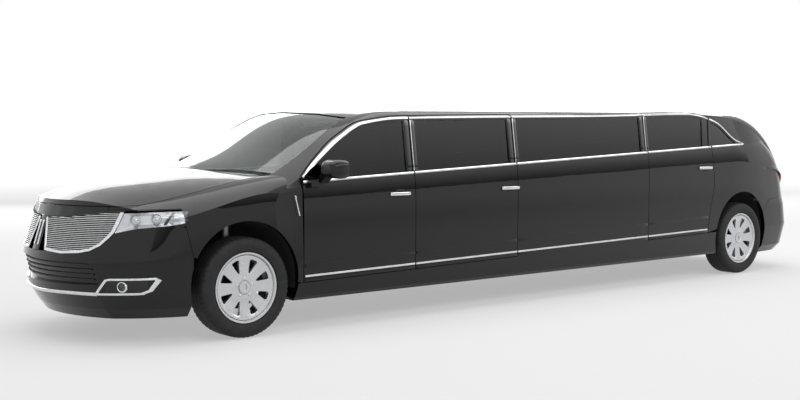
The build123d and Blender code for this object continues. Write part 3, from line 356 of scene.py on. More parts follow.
print("finishes:", len(FINISH), "slots on", len(SLOT_OF), "nodes")

# %% [markdown]
# ## Modelling helpers
# Every new piece starts from a primitive that is added at its size and place and is then shaped in edit
# mode. An operator acts on all that is selected, so the helpers clear the selection first and pick
# vertices, edges or faces by their place or direction.


# %% Modelling helpers
def start(name, kind, **place):
    """Adds a primitive with nothing else selected, and bakes its place into its mesh."""
    bpy.ops.object.select_all(action="DESELECT")
    getattr(bpy.ops.mesh, f"primitive_{kind}_add")(**place)
    piece = bpy.context.object
    piece.name = piece.data.name = name
    bpy.ops.object.transform_apply(location=True, rotation=True, scale=True)
    return piece


def focus(*pieces):
    """Selects only these pieces, the last one active."""
    bpy.ops.object.select_all(action="DESELECT")
    for piece in pieces:
        piece.select_set(True)
        bpy.context.view_layer.objects.active = piece


class Edit:
    """Edit mode on one piece, left again at the end of the block."""

    def __init__(self, piece, mode="FACE"):
        self.piece, self.mode = piece, mode

    def __enter__(self):
        focus(self.piece)
        bpy.ops.object.mode_set(mode="EDIT")
        bpy.ops.mesh.select_mode(type=self.mode)
        bpy.ops.mesh.select_all(action="DESELECT")
        return self

    def __exit__(self, *_):
        bpy.ops.object.mode_set(mode="OBJECT")

    def pick(self, test, extend=False):
        """Selects what the test accepts: a vertex, or an edge or face by its middle and normal."""
        mesh = bmesh.from_edit_mesh(self.piece.data)
        items = {"VERT": mesh.verts, "EDGE": mesh.edges, "FACE": mesh.faces}[self.mode]
        for item in items:
            if self.mode == "VERT":
                middle = item.co
            else:
                middle = sum((v.co for v in item.verts), Vector()) / len(item.verts)
            normal = item.normal if self.mode != "EDGE" else item.verts[1].co - item.verts[0].co
            item.select_set(bool(test(middle, normal)) or (extend and item.select))
        mesh.select_flush_mode()
        bmesh.update_edit_mesh(self.piece.data)
        return sum(item.select for item in items)


def flip(piece):
    """Turns all of a piece's faces over."""
    with Edit(piece):
        bpy.ops.mesh.select_all(action="SELECT")
        bpy.ops.mesh.flip_normals()


def modify(piece, kind, **settings):
    """Adds a modifier and applies it at once."""
    focus(piece)
    modifier = piece.modifiers.new(kind.lower(), kind)
    for key, value in settings.items():
        setattr(modifier, key, value)
    bpy.ops.object.modifier_apply(modifier=modifier.name)


def outward(piece):
    """Merges doubles and turns the faces outwards."""
    with Edit(piece):
        bpy.ops.mesh.select_all(action="SELECT")
        bpy.ops.mesh.remove_doubles(threshold=0.00005)
        bpy.ops.mesh.normals_make_consistent(inside=False)


def dress(piece, finish, body, angle=32):
    """Gives the piece its finish, smooth shading up to an angle, and the body it rides on."""
    piece.data.materials.clear()
    piece.data.materials.append(FINISH[finish] if isinstance(finish, str) else finish)
    focus(piece)
    bpy.ops.object.shade_smooth_by_angle(angle=radians(angle))
    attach(piece, body)
    return piece


def copied(piece, name):
    """A copy with its own mesh."""
    twin = piece.copy()
    twin.data = piece.data.copy()
    twin.name = twin.data.name = name
    bpy.context.scene.collection.objects.link(twin)
    return twin


def joined(name, *pieces):
    """Joins pieces into one."""
    focus(*pieces)
    bpy.ops.object.join()
    piece = bpy.context.object
    piece.name = piece.data.name = name
    return piece


def other_side(piece, name, body):
    """A mirrored copy on the car's right side, its faces turned outwards again."""
    twin = copied(piece, name)
    focus(twin)
    with Edit(twin):
        bpy.ops.mesh.select_all(action="SELECT")
        bpy.ops.transform.resize(value=(1, -1, 1), center_override=(0, 0, 0))
        bpy.ops.mesh.flip_normals()
    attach(twin, body)
    return twin


evaluated = bpy.context.evaluated_depsgraph_get()
surface_of = {name: BVHTree.FromObject(node, evaluated) for name, node in nodes.items()}


def skin_y(node, x, z, out=0.0, side=1):
    """How far out a node's outer skin is at a place in side view."""
    hit = surface_of[node].ray_cast(Vector((x, side * 1.5, z)), Vector((0, -side, 0)))[0]
    return (hit.y + side * out) if hit else None


# %% [markdown]
# ## Camera, light and floor
# The camera stands front left at eye height, turned about 39 degrees from the car's side, as in the
# photograph. A broad soft light hangs over the car, and a tall one stands to its left, because gloss
# black shows little but what it reflects. The floor is pale and fades to a white surround.

# %% Camera
CAMERA_PLACE = (7.5568, 8.2976, 1.5535)
CAMERA_TILT, CAMERA_HEADING, CAMERA_LENS = 86.384, 140.744, 53.56
bpy.ops.object.camera_add(location=CAMERA_PLACE, rotation=(radians(CAMERA_TILT), 0, radians(CAMERA_HEADING)))
camera = bpy.context.object
camera.name = "camera"
camera.data.lens, camera.data.sensor_width = CAMERA_LENS, 36.0
camera.data.clip_end = 200
bpy.context.scene.camera = camera
print("camera at", CAMERA_PLACE, "lens", CAMERA_LENS)


# %% Lights, surround and floor
def soft_light(name, place, aim, wide, high, radiance):
    """An area light at a place, turned to a point, its strength given as the brightness of its face."""
    bpy.ops.object.light_add(type="AREA", location=place)
    lamp = bpy.context.object
    lamp.name = name
    lamp.data.shape, lamp.data.size, lamp.data.size_y = "RECTANGLE", wide, high
    lamp.data.energy = radiance * wide * high * pi
    lamp.rotation_euler = (Vector(aim) - Vector(place)).to_track_quat("-Z", "Y").to_euler()
    lamp.visible_camera = False
    return lamp


soft_light("overhead_softbox", (0.0, 0.0, 7.0), (0.0, 0, 0), 13.0, 5.0, 1.7)
soft_light("far_side_softbox", (-5.0, -11.0, 5.2), (0.5, 0, 0.8), 26.0, 7.0, 2.3)


def seen_directly(tree):
    """1 for camera, glossy and transmission rays, else 0."""
    rays = add(tree, "ShaderNodeLightPath")
    either = add(
        tree, "ShaderNodeMath",
        [(0, rays.outputs["Is Camera Ray"]), (1, rays.outputs["Is Glossy Ray"])], operation="MAXIMUM"
    )
    pairs = [(0, either.outputs[0]), (1, rays.outputs["Is Transmission Ray"])]
    return add(tree, "ShaderNodeMath", pairs, operation="MAXIMUM").outputs[0]


def bare_tree(owner):
    """The owner's emptied node tree."""
    owner.use_nodes = True
    owner.node_tree.nodes.clear()
    return owner.node_tree


# %% [markdown]
# The tall light on the left is a plane whose glow grows with height, so the doors carry a soft gradient
# from the belt down to the crease, as they do under an open sky.

# %% Graded side light
SIDE_LOW, SIDE_HIGH, SIDE_GLOW = 1.6, 7.6, 4.0
bpy.ops.mesh.primitive_plane_add(
    size=1, location=(-5.0, 8.5, (SIDE_LOW + SIDE_HIGH) / 2), rotation=(radians(90), 0, 0)
)
side_light = bpy.context.object
side_light.name = "left_graded_softbox"
side_light.scale = (24.0, SIDE_HIGH - SIDE_LOW, 1)
bpy.ops.object.transform_apply(location=True, rotation=True, scale=True)
side_glow = bpy.data.materials.new("graded_softbox_cloth")
tree = bare_tree(side_glow)
height = add(
    tree, "ShaderNodeSeparateXYZ", [(0, add(tree, "ShaderNodeTexCoord").outputs["Object"])]
).outputs["Z"]
glow = add(
    tree, "ShaderNodeMapRange",
    [("Value", height), ("From Min", SIDE_LOW), ("From Max", SIDE_HIGH), ("To Max", SIDE_GLOW)]
)
cloth = add(tree, "ShaderNodeEmission", [("Strength", glow.outputs[0])])
add(tree, "ShaderNodeOutputMaterial", [("Surface", cloth.outputs[0])])
side_light.data.materials.append(side_glow)
side_light.visible_camera = False

# %% Floor and surround
FLOOR_GREY, FLOOR_LIFT, FLOOR_FADE = "#B4B4B4", 0.42, (9.0, 22.0)
bpy.ops.mesh.primitive_plane_add(size=160)
floor = bpy.context.object
floor.name = "studio_floor"
floor_paint = bpy.data.materials.new("pale_studio_floor")
tree = bare_tree(floor_paint)
lift = add(tree, "ShaderNodeMath", [(0, seen_directly(tree)), (1, FLOOR_LIFT)], operation="MULTIPLY")
matt = add(tree, "ShaderNodeBsdfDiffuse", [("Color", colour(FLOOR_GREY))])
glow = add(tree, "ShaderNodeEmission", [("Strength", lift.outputs[0])])
near = add(tree, "ShaderNodeAddShader", [(0, matt.outputs[0]), (1, glow.outputs[0])])
far = add(tree, "ShaderNodeEmission", [("Strength", 1.0)])
away = add(
    tree, "ShaderNodeVectorMath", [(0, add(tree, "ShaderNodeTexCoord").outputs["Object"])],
    operation="LENGTH"
)
fade = add(
    tree, "ShaderNodeMapRange",
    [("Value", away.outputs["Value"]), ("From Min", FLOOR_FADE[0]), ("From Max", FLOOR_FADE[1])]
)
paint = add(tree, "ShaderNodeMixShader", [(0, fade.outputs[0]), (1, near.outputs[0]), (2, far.outputs[0])])
add(tree, "ShaderNodeOutputMaterial", [("Surface", paint.outputs[0])])
floor.data.materials.append(floor_paint)

SURROUND_FILL = 0.4
world = bpy.data.worlds.new("studio_surround")
bpy.context.scene.world = world
tree = bare_tree(world)
fill = add(tree, "ShaderNodeBackground", [("Strength", SURROUND_FILL)])
white = add(tree, "ShaderNodeBackground", [("Strength", 1.0)])
for shade in (fill, white):
    shade.inputs["Color"].default_value = colour("#FFFFFF")
chosen = add(
    tree, "ShaderNodeMixShader", [(0, seen_directly(tree)), (1, fill.outputs[0]), (2, white.outputs[0])]
)
add(tree, "ShaderNodeOutputWorld", [("Surface", chosen.outputs[0])])
bpy.context.scene.view_settings.view_transform = "Standard"
print("floor, surround and three soft lights")

# %% [markdown]
# ## Strips that follow the panels
# Bright strips run along the windows and the sills. On the car they are rolled or moulded to the
# panel's curve. Here each starts as a flat grid whose columns are moved onto the panel, where a ray
# finds its skin. Solidify then gives the strip its thickness and Bevel its soft edge. A strip that
# crosses a shut line is made in parts, so that each door takes its own part along.


# %% Draped strips
def draped(name, rows):
    """A grid with its vertices at these points, in rows of equal length, faces by the right-hand rule."""
    piece = start(name, "grid", x_subdivisions=len(rows[0]) - 1, y_subdivisions=len(rows) - 1, size=1)
    flat = [point for row in rows for point in row]
    for vertex, point in zip(piece.data.vertices, flat, strict=True):
        vertex.co = point
    return piece


def thicken(piece, thick, soft=0.0, sink=0.0, segments=2):
    """Gives an open sheet a wall on its outer side, its back sunk a little, and a soft edge."""
    modify(piece, "SOLIDIFY", thickness=thick + sink, offset=1 - 2 * sink / (thick + sink))
    if soft:
        modify(piece, "BEVEL", width=soft, segments=segments, limit_method="ANGLE", angle_limit=radians(40))
    return piece


def side_strip(name, path, wide, thick, node, body, finish, out=lambda t: 0.0, soft=None, rows=3):
    """A strip along (x, z) points on a left-hand panel, its faces towards +Y."""
    spots = []
    for i, (x, z) in enumerate(path):
        ahead, behind = path[min(i + 1, len(path) - 1)], path[max(i - 1, 0)]
        run = Vector((ahead[0] - behind[0], ahead[1] - behind[1])).normalized()
        spots.append((x, z, -run.y, run.x))
    table, last = [], None
    for row in range(rows):
        across = (row / (rows - 1) - 0.5) * wide
        line = []
        for i, (x, z, ax, az) in enumerate(spots):
            px, pz = x + ax * across, z + az * across
            y = skin_y(node, px, pz) or skin_y(node, x, z) or last
            last = y if y is not None else last
            if y is None:
                y = 0.93
            line.append(Vector((px, y + out(i / (len(spots) - 1)), pz)))
        table.append(line)
    piece = draped(name, table)
    if piece.data.polygons[0].normal.y < 0:
        flip(piece)
    thicken(piece, thick, thick * 0.45 if soft is None else soft, 0.001)
    return dress(piece, finish, body)


def both(piece, body_left):
    """The piece on the left and its mirrored twin on the right."""
    name = piece.name.replace("left", "right")
    return piece, other_side(piece, name, body_left.replace("left", "right"))


def stations(x_front, x_rear, step=0.06):
    """Places along the car from front to rear, evenly spaced."""
    count = max(2, round((x_front - x_rear) / step) + 1)
    return [x_front + (x_rear - x_front) * i / (count - 1) for i in range(count)]


# %% Bright arch and belt along the windows
SIDE_PARTS = [
    # node stem, front and rear ends of its arch, front and rear ends of its belt
    ("front_door_left", 2.478, 1.404, 2.484, 1.404),
    ("mid_door_left", 1.392, 0.246, 1.392, 0.246),
    ("bay_panel_left", 0.234, -1.524, 0.234, -1.524),
    ("rear_door_left", -1.536, -2.556, -1.536, -2.522),
    ("rear_quarter_left", -2.582, -3.100, -2.540, -3.080),
]
for node, arch_front, arch_rear, belt_front, belt_rear in SIDE_PARTS:
    body = body_of_node[node]
    inner = [x for x, _ in ARCH if arch_rear + 0.01 < x < arch_front - 0.01]
    path = [(x, arch(x) - 0.006) for x in sorted({arch_front, arch_rear, *inner}, reverse=True)]
    both(side_strip(f"{node}_arch_strip", path, 0.017, 0.006, node, body, "chrome_trim"), body)
    path = [(x, belt(x) - 0.010) for x in stations(belt_front, belt_rear)]
    both(side_strip(f"{node}_belt_strip", path, 0.019, 0.006, node, body, "chrome_trim"), body)
print("arch and belt strips:", len(SIDE_PARTS) * 4)

# %% Bright strip and dark mouldings above the sill
LOW_STRIPS = [
    # name, height at the front seam, fall in height a metre, width, thickness, finish
    ("sill_strip", 0.4165, -0.0160, 0.016, 0.006, "chrome_trim"),
    ("upper_moulding", 0.494, -0.0259, 0.022, 0.007, "body_paint"),
    ("lower_moulding", 0.3665, -0.0185, 0.024, 0.008, "body_paint"),
]
LOW_PARTS = [
    ("front_door_left", 2.480, 1.404),
    ("mid_door_left", 1.392, 0.246),
    ("bay_panel_left", 0.234, -1.524),
    ("rear_door_left", -1.536, -2.462),
]
for node, x_front, x_rear in LOW_PARTS:
    body = body_of_node[node]
    for strip, z_front, climb, wide, thick, finish in LOW_STRIPS:
        path = [
            (x, max(z_front + climb * (x - FRONT_SEAM), 0.395 + 0.0185 * (FRONT_SEAM - x)))
            for x in stations(x_front, x_rear, 0.12)
        ]
        if strip == "lower_moulding":
            path = [(x, 0.387 + 0.0185 * (FRONT_SEAM - x)) for x in stations(x_front, x_rear, 0.12)]
        both(side_strip(f"{node}_{strip}", path, wide, thick, node, body, finish), body)
print("sill strips and mouldings:", len(LOW_PARTS) * len(LOW_STRIPS) * 2)

# %% [markdown]
# ## Door handles
# Each door has a bright pull over a dark cup. The pull is a strip whose middle stands off the door like
# a shallow bow, its edges softened by a bevel.

# %% Door handles
HANDLES = [
    ("front_door_left", 1.558, 1.003), ("mid_door_left", 0.333, 1.009),
    ("rear_door_left", -2.411, 1.118)
]
for node, x, z in HANDLES:
    body = body_of_node[node]
    path = [(x + 0.098 - 0.196 * i / 12, z + 0.003) for i in range(13)]
    pull = side_strip(
        f"{node}_pull", path, 0.027, 0.012, node, body, "chrome_trim",
        out=lambda t: 0.030 * sin(pi * t) ** 0.45, soft=0.004
    )
    both(pull, body)
    cup = start(f"{node}_cup", "circle", vertices=32, radius=1.0, fill_type="NGON")
    with Edit(cup) as shape:
        bpy.ops.mesh.select_all(action="SELECT")
        bpy.ops.transform.resize(value=(0.062, 0.036, 1))
        for size, depth in ((0.86, 0.002), (0.8, -0.001), (0.7, -0.0016), (0.5, -0.001)):
            bpy.ops.mesh.extrude_region_move(TRANSFORM_OT_translate={"value": (0, 0, depth)})
            bpy.ops.transform.resize(value=(size, size, 1))
    for vertex in cup.data.vertices:
        px, pz, lift = x + vertex.co.x, z + 0.004 + vertex.co.y, vertex.co.z
        vertex.co = (px, (skin_y(node, px, pz) or 0.96) + 0.0006 + lift, pz)
    if sum((p.normal.y for p in cup.data.polygons)) < 0:
        flip(cup)
    dress(cup, "black_trim", body)
    both(cup, body)
print("handles:", len(HANDLES) * 2)

# %% [markdown]
# ## Rings and turned pieces
# Tyres, wheel faces, nuts and lamp bowls are all turned: one profile swept round an axis. A circle gives
# the profile its vertices, they are moved to their places, and Spin carries them round.


# %% Turned pieces
def lathe(name, outline, steps, centre=(0, 0, 0), axis=(0, 1, 0)):
    """A closed ring from (along the axis, radius) points, spun in edit mode and set on its axis."""
    ring = start(name, "circle", vertices=len(outline), radius=0.1)
    for vertex, (along, radius) in zip(ring.data.vertices, outline, strict=True):
        vertex.co = (0, along, radius)
    with Edit(ring, "EDGE"):
        bpy.ops.mesh.select_all(action="SELECT")
        bpy.ops.mesh.spin(steps=steps, angle=2 * pi, center=(0, 0, 0), axis=(0, 1, 0))
    turn = Vector((0, 1, 0)).rotation_difference(Vector(axis)).to_matrix().to_4x4()
    turn.translation = Vector(centre)
    ring.data.transform(turn)
    outward(ring)
    return ring


# %% [markdown]
# ## Tyres
# The tread has four grooves round it, and its shoulders are parted into blocks. The grooves are in the
# spun profile. The blocks come from sinking every fourth column of shoulder vertices a few millimetres.

# %% Tyres
TYRE_STEPS, LUG_EVERY, LUG_DEPTH = 240, 4, 0.006
GROOVES, GROOVE_HALF, GROOVE_DEPTH = (0.060, 0.021), 0.0035, 0.008
WALL = [
    (0.080, 0.2505), (0.0965, 0.2505), (0.0965, 0.2625), (0.1085, 0.2705), (0.1148, 0.288),
    (0.1165, 0.312)
]
SHOULDER = [(0.1155, 0.330), (0.110, 0.348), (0.102, 0.3595), (0.090, 0.3665)]
outline = [*WALL, *SHOULDER]
for groove in GROOVES:
    crown = TYRE_R - 0.0012
    outline += [(groove + GROOVE_HALF, crown), (groove + GROOVE_HALF * 0.7, TYRE_R - GROOVE_DEPTH)]
    outline += [(groove - GROOVE_HALF * 0.7, TYRE_R - GROOVE_DEPTH), (groove - GROOVE_HALF, crown)]
LINING = [(-0.088, 0.300), (-0.080, 0.345), (0.080, 0.345), (0.088, 0.300)]
tyre = lathe("tyre", [*outline, *[(-y, r) for y, r in reversed(outline)], *LINING], TYRE_STEPS)
for vertex in tyre.data.vertices:
    radius = Vector((vertex.co.x, vertex.co.z)).length
    column = round(atan2(vertex.co.z, vertex.co.x) / (2 * pi) * TYRE_STEPS)
    if column % LUG_EVERY == 0 and radius > 0.357 and abs(vertex.co.y) > GROOVES[0] + 0.006:
        vertex.co.x *= 1 - LUG_DEPTH / radius
        vertex.co.z *= 1 - LUG_DEPTH / radius
print("tyre:", len(tyre.data.polygons), "faces")

# %% [markdown]
# ## Wheels
# The wheels are cast in one piece. Their windows start well out from the hub, so most of the face is
# metal. A turned disc gives the face, and eight cutters take the windows out of it by a boolean, which
# is how the openings of a real casting are machined clean too.

# %% Wheel casting
BARREL = [
    (0.1025, 0.2588), (0.0978, 0.2588), (0.0968, 0.2500), (-0.0968, 0.2500), (-0.0978, 0.2588),
    (-0.1025, 0.2588), (-0.1025, 0.2425), (-0.090, 0.2400), (0.060, 0.2335), (0.090, 0.2400),
    (0.1010, 0.2470),
]
FACE = [
    (0.0700, 0.0), (0.0700, 0.0480), (0.0755, 0.0540), (0.0760, 0.0840), (0.0690, 0.1080), (0.0710, 0.1600),
    (0.0800, 0.2050), (0.0890, 0.2365), (0.0600, 0.2375), (0.0480, 0.2000), (0.0420, 0.0800), (0.0420, 0.0),
]
WINDOW = [(0.110, 0.0), (0.114, 0.007), (0.194, 0.031), (0.203, 0.031), (0.209, 0.023), (0.211, 0.0)]
WINDOW += [(r, -t) for r, t in reversed(WINDOW[1:-1])]
SPOKES = 8
casting = lathe("casting", FACE, 96)
cutters = []
for spoke in range(SPOKES):
    angle = 2 * pi * (spoke + 0.5) / SPOKES
    cutter = start("window_cutter", "circle", vertices=len(WINDOW), radius=0.1, fill_type="NGON")
    for vertex, (r, t) in zip(cutter.data.vertices, WINDOW, strict=True):
        vertex.co = (r * sin(angle) + t * cos(angle), 0.02, r * cos(angle) - t * sin(angle))
    with Edit(cutter):
        bpy.ops.mesh.select_all(action="SELECT")
        bpy.ops.mesh.extrude_region_move(TRANSFORM_OT_translate={"value": (0, 0.1, 0)})
    outward(cutter)
    cutters.append(cutter)
cutter = joined("window_cutters", *cutters)
modify(casting, "BOOLEAN", object=cutter, operation="DIFFERENCE", solver="EXACT")
bpy.data.objects.remove(cutter)
modify(casting, "BEVEL", width=0.0022, segments=2, limit_method="ANGLE", angle_limit=radians(50))
print("wheel casting:", len(casting.data.polygons), "faces,", SPOKES, "windows")

# %% Barrel, cap, nuts and brake disc
barrel = lathe("barrel", BARREL, 144)
CAP = [
    (0.070, 0.0), (0.0705, 0.020), (0.0795, 0.022), (0.0815, 0.034), (0.0790, 0.0455), (0.0700, 0.0460),
    (0.060, 0.030), (0.060, 0.0)
]
cap = lathe("cap", CAP, 64)
nuts = []
for nut in range(5):
    angle = 2 * pi * nut / 5
    place = (0.068 * sin(angle), 0.0735, 0.068 * cos(angle))
    nuts.append(
        lathe(
            "nut", [(0.010, 0.0), (0.010, 0.006), (0.007, 0.0095), (-0.006, 0.0098), (-0.006, 0.0)], 6,
            place
        )
    )
nuts = joined("nuts", *nuts)
DISC = [(-0.0120, 0.080), (-0.0120, 0.164), (-0.0360, 0.164), (-0.0360, 0.080)]
disc = lathe("disc", DISC, 96)
HUB = [(0.042, 0.0), (0.042, 0.077), (-0.042, 0.077), (-0.042, 0.031), (0.020, 0.031), (0.020, 0.0)]
hub = lathe("hub", HUB, 64)

# %% Set the wheels on their axles
dark_steel, tree, shader = material("oiled_brake_steel", "#3A3A3C", 0.42, 0.9)
tree.links.new(
    two_tone(tree, grain(tree, 220, 3.0).outputs["Fac"], "#2C2C2E", "#4A4A4C"),
    shader.inputs["Base Color"]
)
WHEEL_PIECES = [
    # pattern, name, finish, smooth angle, what it stands for
    (tyre, "tread_tyre", "tyre_rubber", 30, "tyre"),
    (casting, "cast_wheel", "wheel_alloy", 35, "rim"),
    (barrel, "wheel_barrel", "wheel_alloy", 35, None),
    (cap, "wheel_cap", "wheel_alloy", 35, None),
    (nuts, "wheel_nuts", "chrome_trim", 30, None),
    (disc, "brake_disc", dark_steel, 35, None),
    (hub, "wheel_hub", dark_steel, 35, None),
]
for wheel, axle, side in (
    ("front_left", FRONT_AXLE, 1), ("front_right", FRONT_AXLE, -1), ("rear_left", REAR_AXLE, 1),
    ("rear_right", REAR_AXLE, -1)
):
    for pattern, name, finish, angle, stands_for in WHEEL_PIECES:
        piece = copied(pattern, f"{name}_{wheel}")
        with Edit(piece):
            bpy.ops.mesh.select_all(action="SELECT")
            bpy.ops.transform.resize(value=(1, side, 1), center_override=(0, 0, 0))
            bpy.ops.transform.translate(value=(axle, side * WHEEL_Y, TYRE_R))
            if side < 0:
                bpy.ops.mesh.flip_normals()
        dress(piece, finish, f"wheel_{wheel}", angle)
        if stands_for:
            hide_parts(f"{stands_for}_{wheel}")
for pattern, *_ in WHEEL_PIECES:
    bpy.data.objects.remove(pattern)
print("wheels set on 4 axles")

# %% [markdown]
# ## The nose
# The nose is one sheet that falls back from the middle to the corners. The grille wings, the chrome round
# them and the lower strip are laid on it by a short function of where they are across the car and how high.

# %% The nose skin
SWEEP = [
    (0.0, 0.0), (0.06, 0.002), (0.2, 0.019), (0.35, 0.058), (0.5, 0.123), (0.58, 0.169), (0.65, 0.222),
    (0.72, 0.290), (0.8, 0.395), (0.86, 0.512)
]
NOSE_TOP_X, NOSE_LEAN = 4.100, 0.3115


def between(table, value):
    """Reads a table of (from, to) pairs, with straight lines between them."""
    for (a, b), (c, d) in zip(table, table[1:]):
        if a <= value <= c:
            return b + (d - b) * (value - a) / (c - a)
    return table[0][1] if value < table[0][0] else table[-1][1]


def nose_x(y, z):
    """How far forward the nose is: worked out above the bumper's crease, found by a ray below it."""
    if z > 0.62:
        return NOSE_TOP_X + (0.900 - z) * NOSE_LEAN - between(SWEEP, abs(y))
    hit = surface_of["front_bumper"].ray_cast(Vector((6, y, z)), Vector((-1, 0, 0)))[0]
    return hit.x if hit else 4.1 - between(SWEEP, abs(y))


def nose_strip(name, path, wide, thick, finish, lift=0.0, soft=None, step=0.03):
    """A strip along (y, z) points on the nose, faces forward."""
    fine = []
    for (ya, za), (yb, zb) in zip(path, path[1:]):
        count = max(1, round(Vector((yb - ya, zb - za)).length / step))
        fine += [(ya + (yb - ya) * i / count, za + (zb - za) * i / count) for i in range(count)]
    fine.append(path[-1])
    rows = [[], [], []]
    for i, (y, z) in enumerate(fine):
        ahead, behind = fine[min(i + 1, len(fine) - 1)], fine[max(i - 1, 0)]
        run = Vector((ahead[0] - behind[0], ahead[1] - behind[1])).normalized()
        for row, across in enumerate((-0.5, 0, 0.5)):
            py, pz = y - run.y * across * wide, z + run.x * across * wide
            rows[row].append(Vector((nose_x(py, pz) + lift, py, pz)))
    piece = draped(name, rows)
    if piece.data.polygons[0].normal.x < 0:
        flip(piece)
    thicken(piece, thick, thick * 0.4 if soft is None else soft, 0.001)
    return dress(piece, finish, "body")


# %% [markdown]
# ## Grille wings
# Each wing is a dark tray behind fine bright bars. A rolled chrome edge runs down its inner side, along
# its foot and up its outer side to the lamp. Along the top, in the bonnet's shut line, a black strip is
# painted shadow.

# %% Grille wings
WING_TOP = [(0.893, 0.060), (0.905, 0.300), (0.925, 0.480), (0.943, 0.620), (0.948, 0.690)]
WING_OUTER = [
    (0.664, 0.42), (0.674, 0.50), (0.685, 0.556), (0.721, 0.612), (0.775, 0.650), (0.811, 0.666),
    (0.948, 0.690)
]
WING_FOOT_Z, WING_HEAD_Z, BAR_PITCH = 0.664, 0.946, 0.0128


def wing_ends(z):
    """The inner and outer ends of the wing at a height."""
    inner = 0.058 + (0.900 - z) * 0.39
    return (between(WING_TOP, z) if z > WING_TOP[0][0] else inner), between(WING_OUTER, z)


def wing_sheet(name, heights, lift, columns=26):
    """A sheet over the wing between its ends."""
    rows = []
    for z in heights:
        inner, outer = wing_ends(z)
        ys = [inner + (outer - inner) * i / columns for i in range(columns + 1)]
        rows.append([Vector((nose_x(y, z) + lift, y, z)) for y in ys])
    return draped(name, rows)


rows = 22
tray = wing_sheet(
    "grille_tray_left", [WING_FOOT_Z + (WING_HEAD_Z - WING_FOOT_Z) * i / rows for i in range(rows + 1)],
    0.0012
)
thicken(tray, 0.001)
tray = dress(tray, "black_trim", "body")
bars = []
z = WING_FOOT_Z + 0.012
while z < WING_HEAD_Z - 0.004:
    bar = wing_sheet("bar", [z, z + 0.0045], 0.0062)
    bars.append(thicken(bar, 0.0035, 0.0010, 0.002, 1))
    z += BAR_PITCH
bars = dress(joined("grille_bars_left", *bars), "chrome_trim", "body")
other_side(tray, "grille_tray_right", "body")
other_side(bars, "grille_bars_right", "body")
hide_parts("grille")
EDGE = [
    (0.062, 0.890), (0.148, 0.668), (0.334, 0.658), (0.480, 0.668), (0.556, 0.685), (0.612, 0.721),
    (0.650, 0.775), (0.668, 0.811), (0.690, 0.945)
]
# Path of a black strip of painted shadow for the shut line under the bonnet's lip, along the wings' top
SHUT_LINE_SHADOW = [(0.060, 0.896), (0.300, 0.908), (0.480, 0.928), (0.620, 0.946), (0.700, 0.950)]
POST = [(0.026, 0.868), (0.030, 0.690)]
for side_name, side in (("left", 1), ("right", -1)):
    nose_strip(
        f"grille_edge_{side_name}", [(y * side, z) for y, z in EDGE], 0.020, 0.009, "chrome_trim",
        0.0035
    )
    # Painted shadow: a black strip where the shut line under the bonnet's lip lies in shade
    nose_strip(
        f"grille_head_{side_name}", [(y * side, z) for y, z in SHUT_LINE_SHADOW], 0.012, 0.006, "black_trim", 0.004
    )
    nose_strip(
        f"grille_post_{side_name}", [(y * side, z) for y, z in POST], 0.017, 0.010, "chrome_trim", 0.004
    )
CENTRE = [(0.0, 0.905), (0.0, 0.655)]
nose_strip("grille_centre", CENTRE, 0.110, 0.004, "body_paint", 0.001)
print("grille wings:", len(bars.data.polygons), "faces in the bars of one")

# %% [markdown]
# ## Bumper trim
# A bright strip closes the bumper's foot and runs into a bright frame round each fog lamp. Dark slats
# cross the low air intake.

# %% Bumper trim
LOWER = [
    (-0.583, 0.377), (-0.374, 0.377), (-0.153, 0.372), (0.0, 0.368), (0.153, 0.372), (0.374, 0.377),
    (0.583, 0.377)
]
nose_strip("bumper_bright_strip", LOWER, 0.024, 0.010, "chrome_trim", 0.001)
FOG_FRAME = [
    (0.560, 0.377), (0.585, 0.382), (0.650, 0.476), (0.672, 0.482), (0.850, 0.484), (0.858, 0.474),
    (0.830, 0.402), (0.800, 0.382), (0.560, 0.377)
]
FOG_BED = [(0.640, 0.430), (0.826, 0.432)]
for side_name, side in (("left", 1), ("right", -1)):
    nose_strip(
        f"fog_frame_{side_name}", [(y * side, z) for y, z in FOG_FRAME], 0.016, 0.009, "chrome_trim",
        0.001, step=0.02
    )
    nose_strip(
        f"fog_bed_{side_name}", [(y * side, z) for y, z in FOG_BED], 0.086, 0.002, "black_trim", 0.0005,
        step=0.02
    )
    y, z = 0.730, 0.430
    spot = (nose_x(y, z) + 0.004, y * side, z)
    rim = [(0.0, 0.026), (0.012, 0.030), (0.014, 0.036), (0.004, 0.040), (-0.010, 0.040), (-0.010, 0.026)]
    dress(lathe(f"fog_rim_{side_name}", rim, 40, spot, (0.82, 0.5 * side, 0)), "chrome_trim", "body")
    lens = [(0.010, 0.0), (0.009, 0.015), (0.004, 0.0265), (-0.004, 0.0265), (-0.004, 0.0)]
    dress(lathe(f"fog_lens_{side_name}", lens, 40, spot, (0.82, 0.5 * side, 0)), "lamp_clear", "body")
for number, z in enumerate((0.475, 0.510, 0.545, 0.580)):
    nose_strip(
        f"intake_slat_{number}", [(-0.56, z), (-0.3, z), (0, z), (0.3, z), (0.56, z)], 0.010, 0.009,
        "black_trim", 0.002
    )
print("bumper trim and fog lamps set")

# %% [markdown]
# ## Headlamps
# A headlamp is a clear moulded lens over a silvered tray with two projector bowls. The corner of the car
# curves away, so the lamp is laid on it by rays that come in at 45 degrees, and its places are measured
# along a line square to those rays.

# %% Corner skin
CORNER = ("headlamps", "front_bumper", "front_fender_left", "bonnet")
INWARD, ALONG = Vector((-1, -1, 0)).normalized(), Vector((-1, 1, 0)).normalized()


def corner_point(u, z, out=0.0):
    """The point of the front left corner that a slanting ray meets, pushed out a little."""
    origin = ALONG * u - INWARD * 8 + Vector((0, 0, z))
    hits = [surface_of[node].ray_cast(origin, INWARD) for node in CORNER]
    near = min((hit for hit in hits if hit[0]), key=lambda hit: hit[3])
    return near[0] - INWARD * out


FRACTIONS = [0.0, 0.3, 0.7, 0.92, 1.0]


def along(points, share):
    """The point at this share of a line given by one point at each of FRACTIONS."""
    return Vector([between([(f, p[axis]) for f, p in zip(FRACTIONS, points)], share) for axis in (0, 1)])


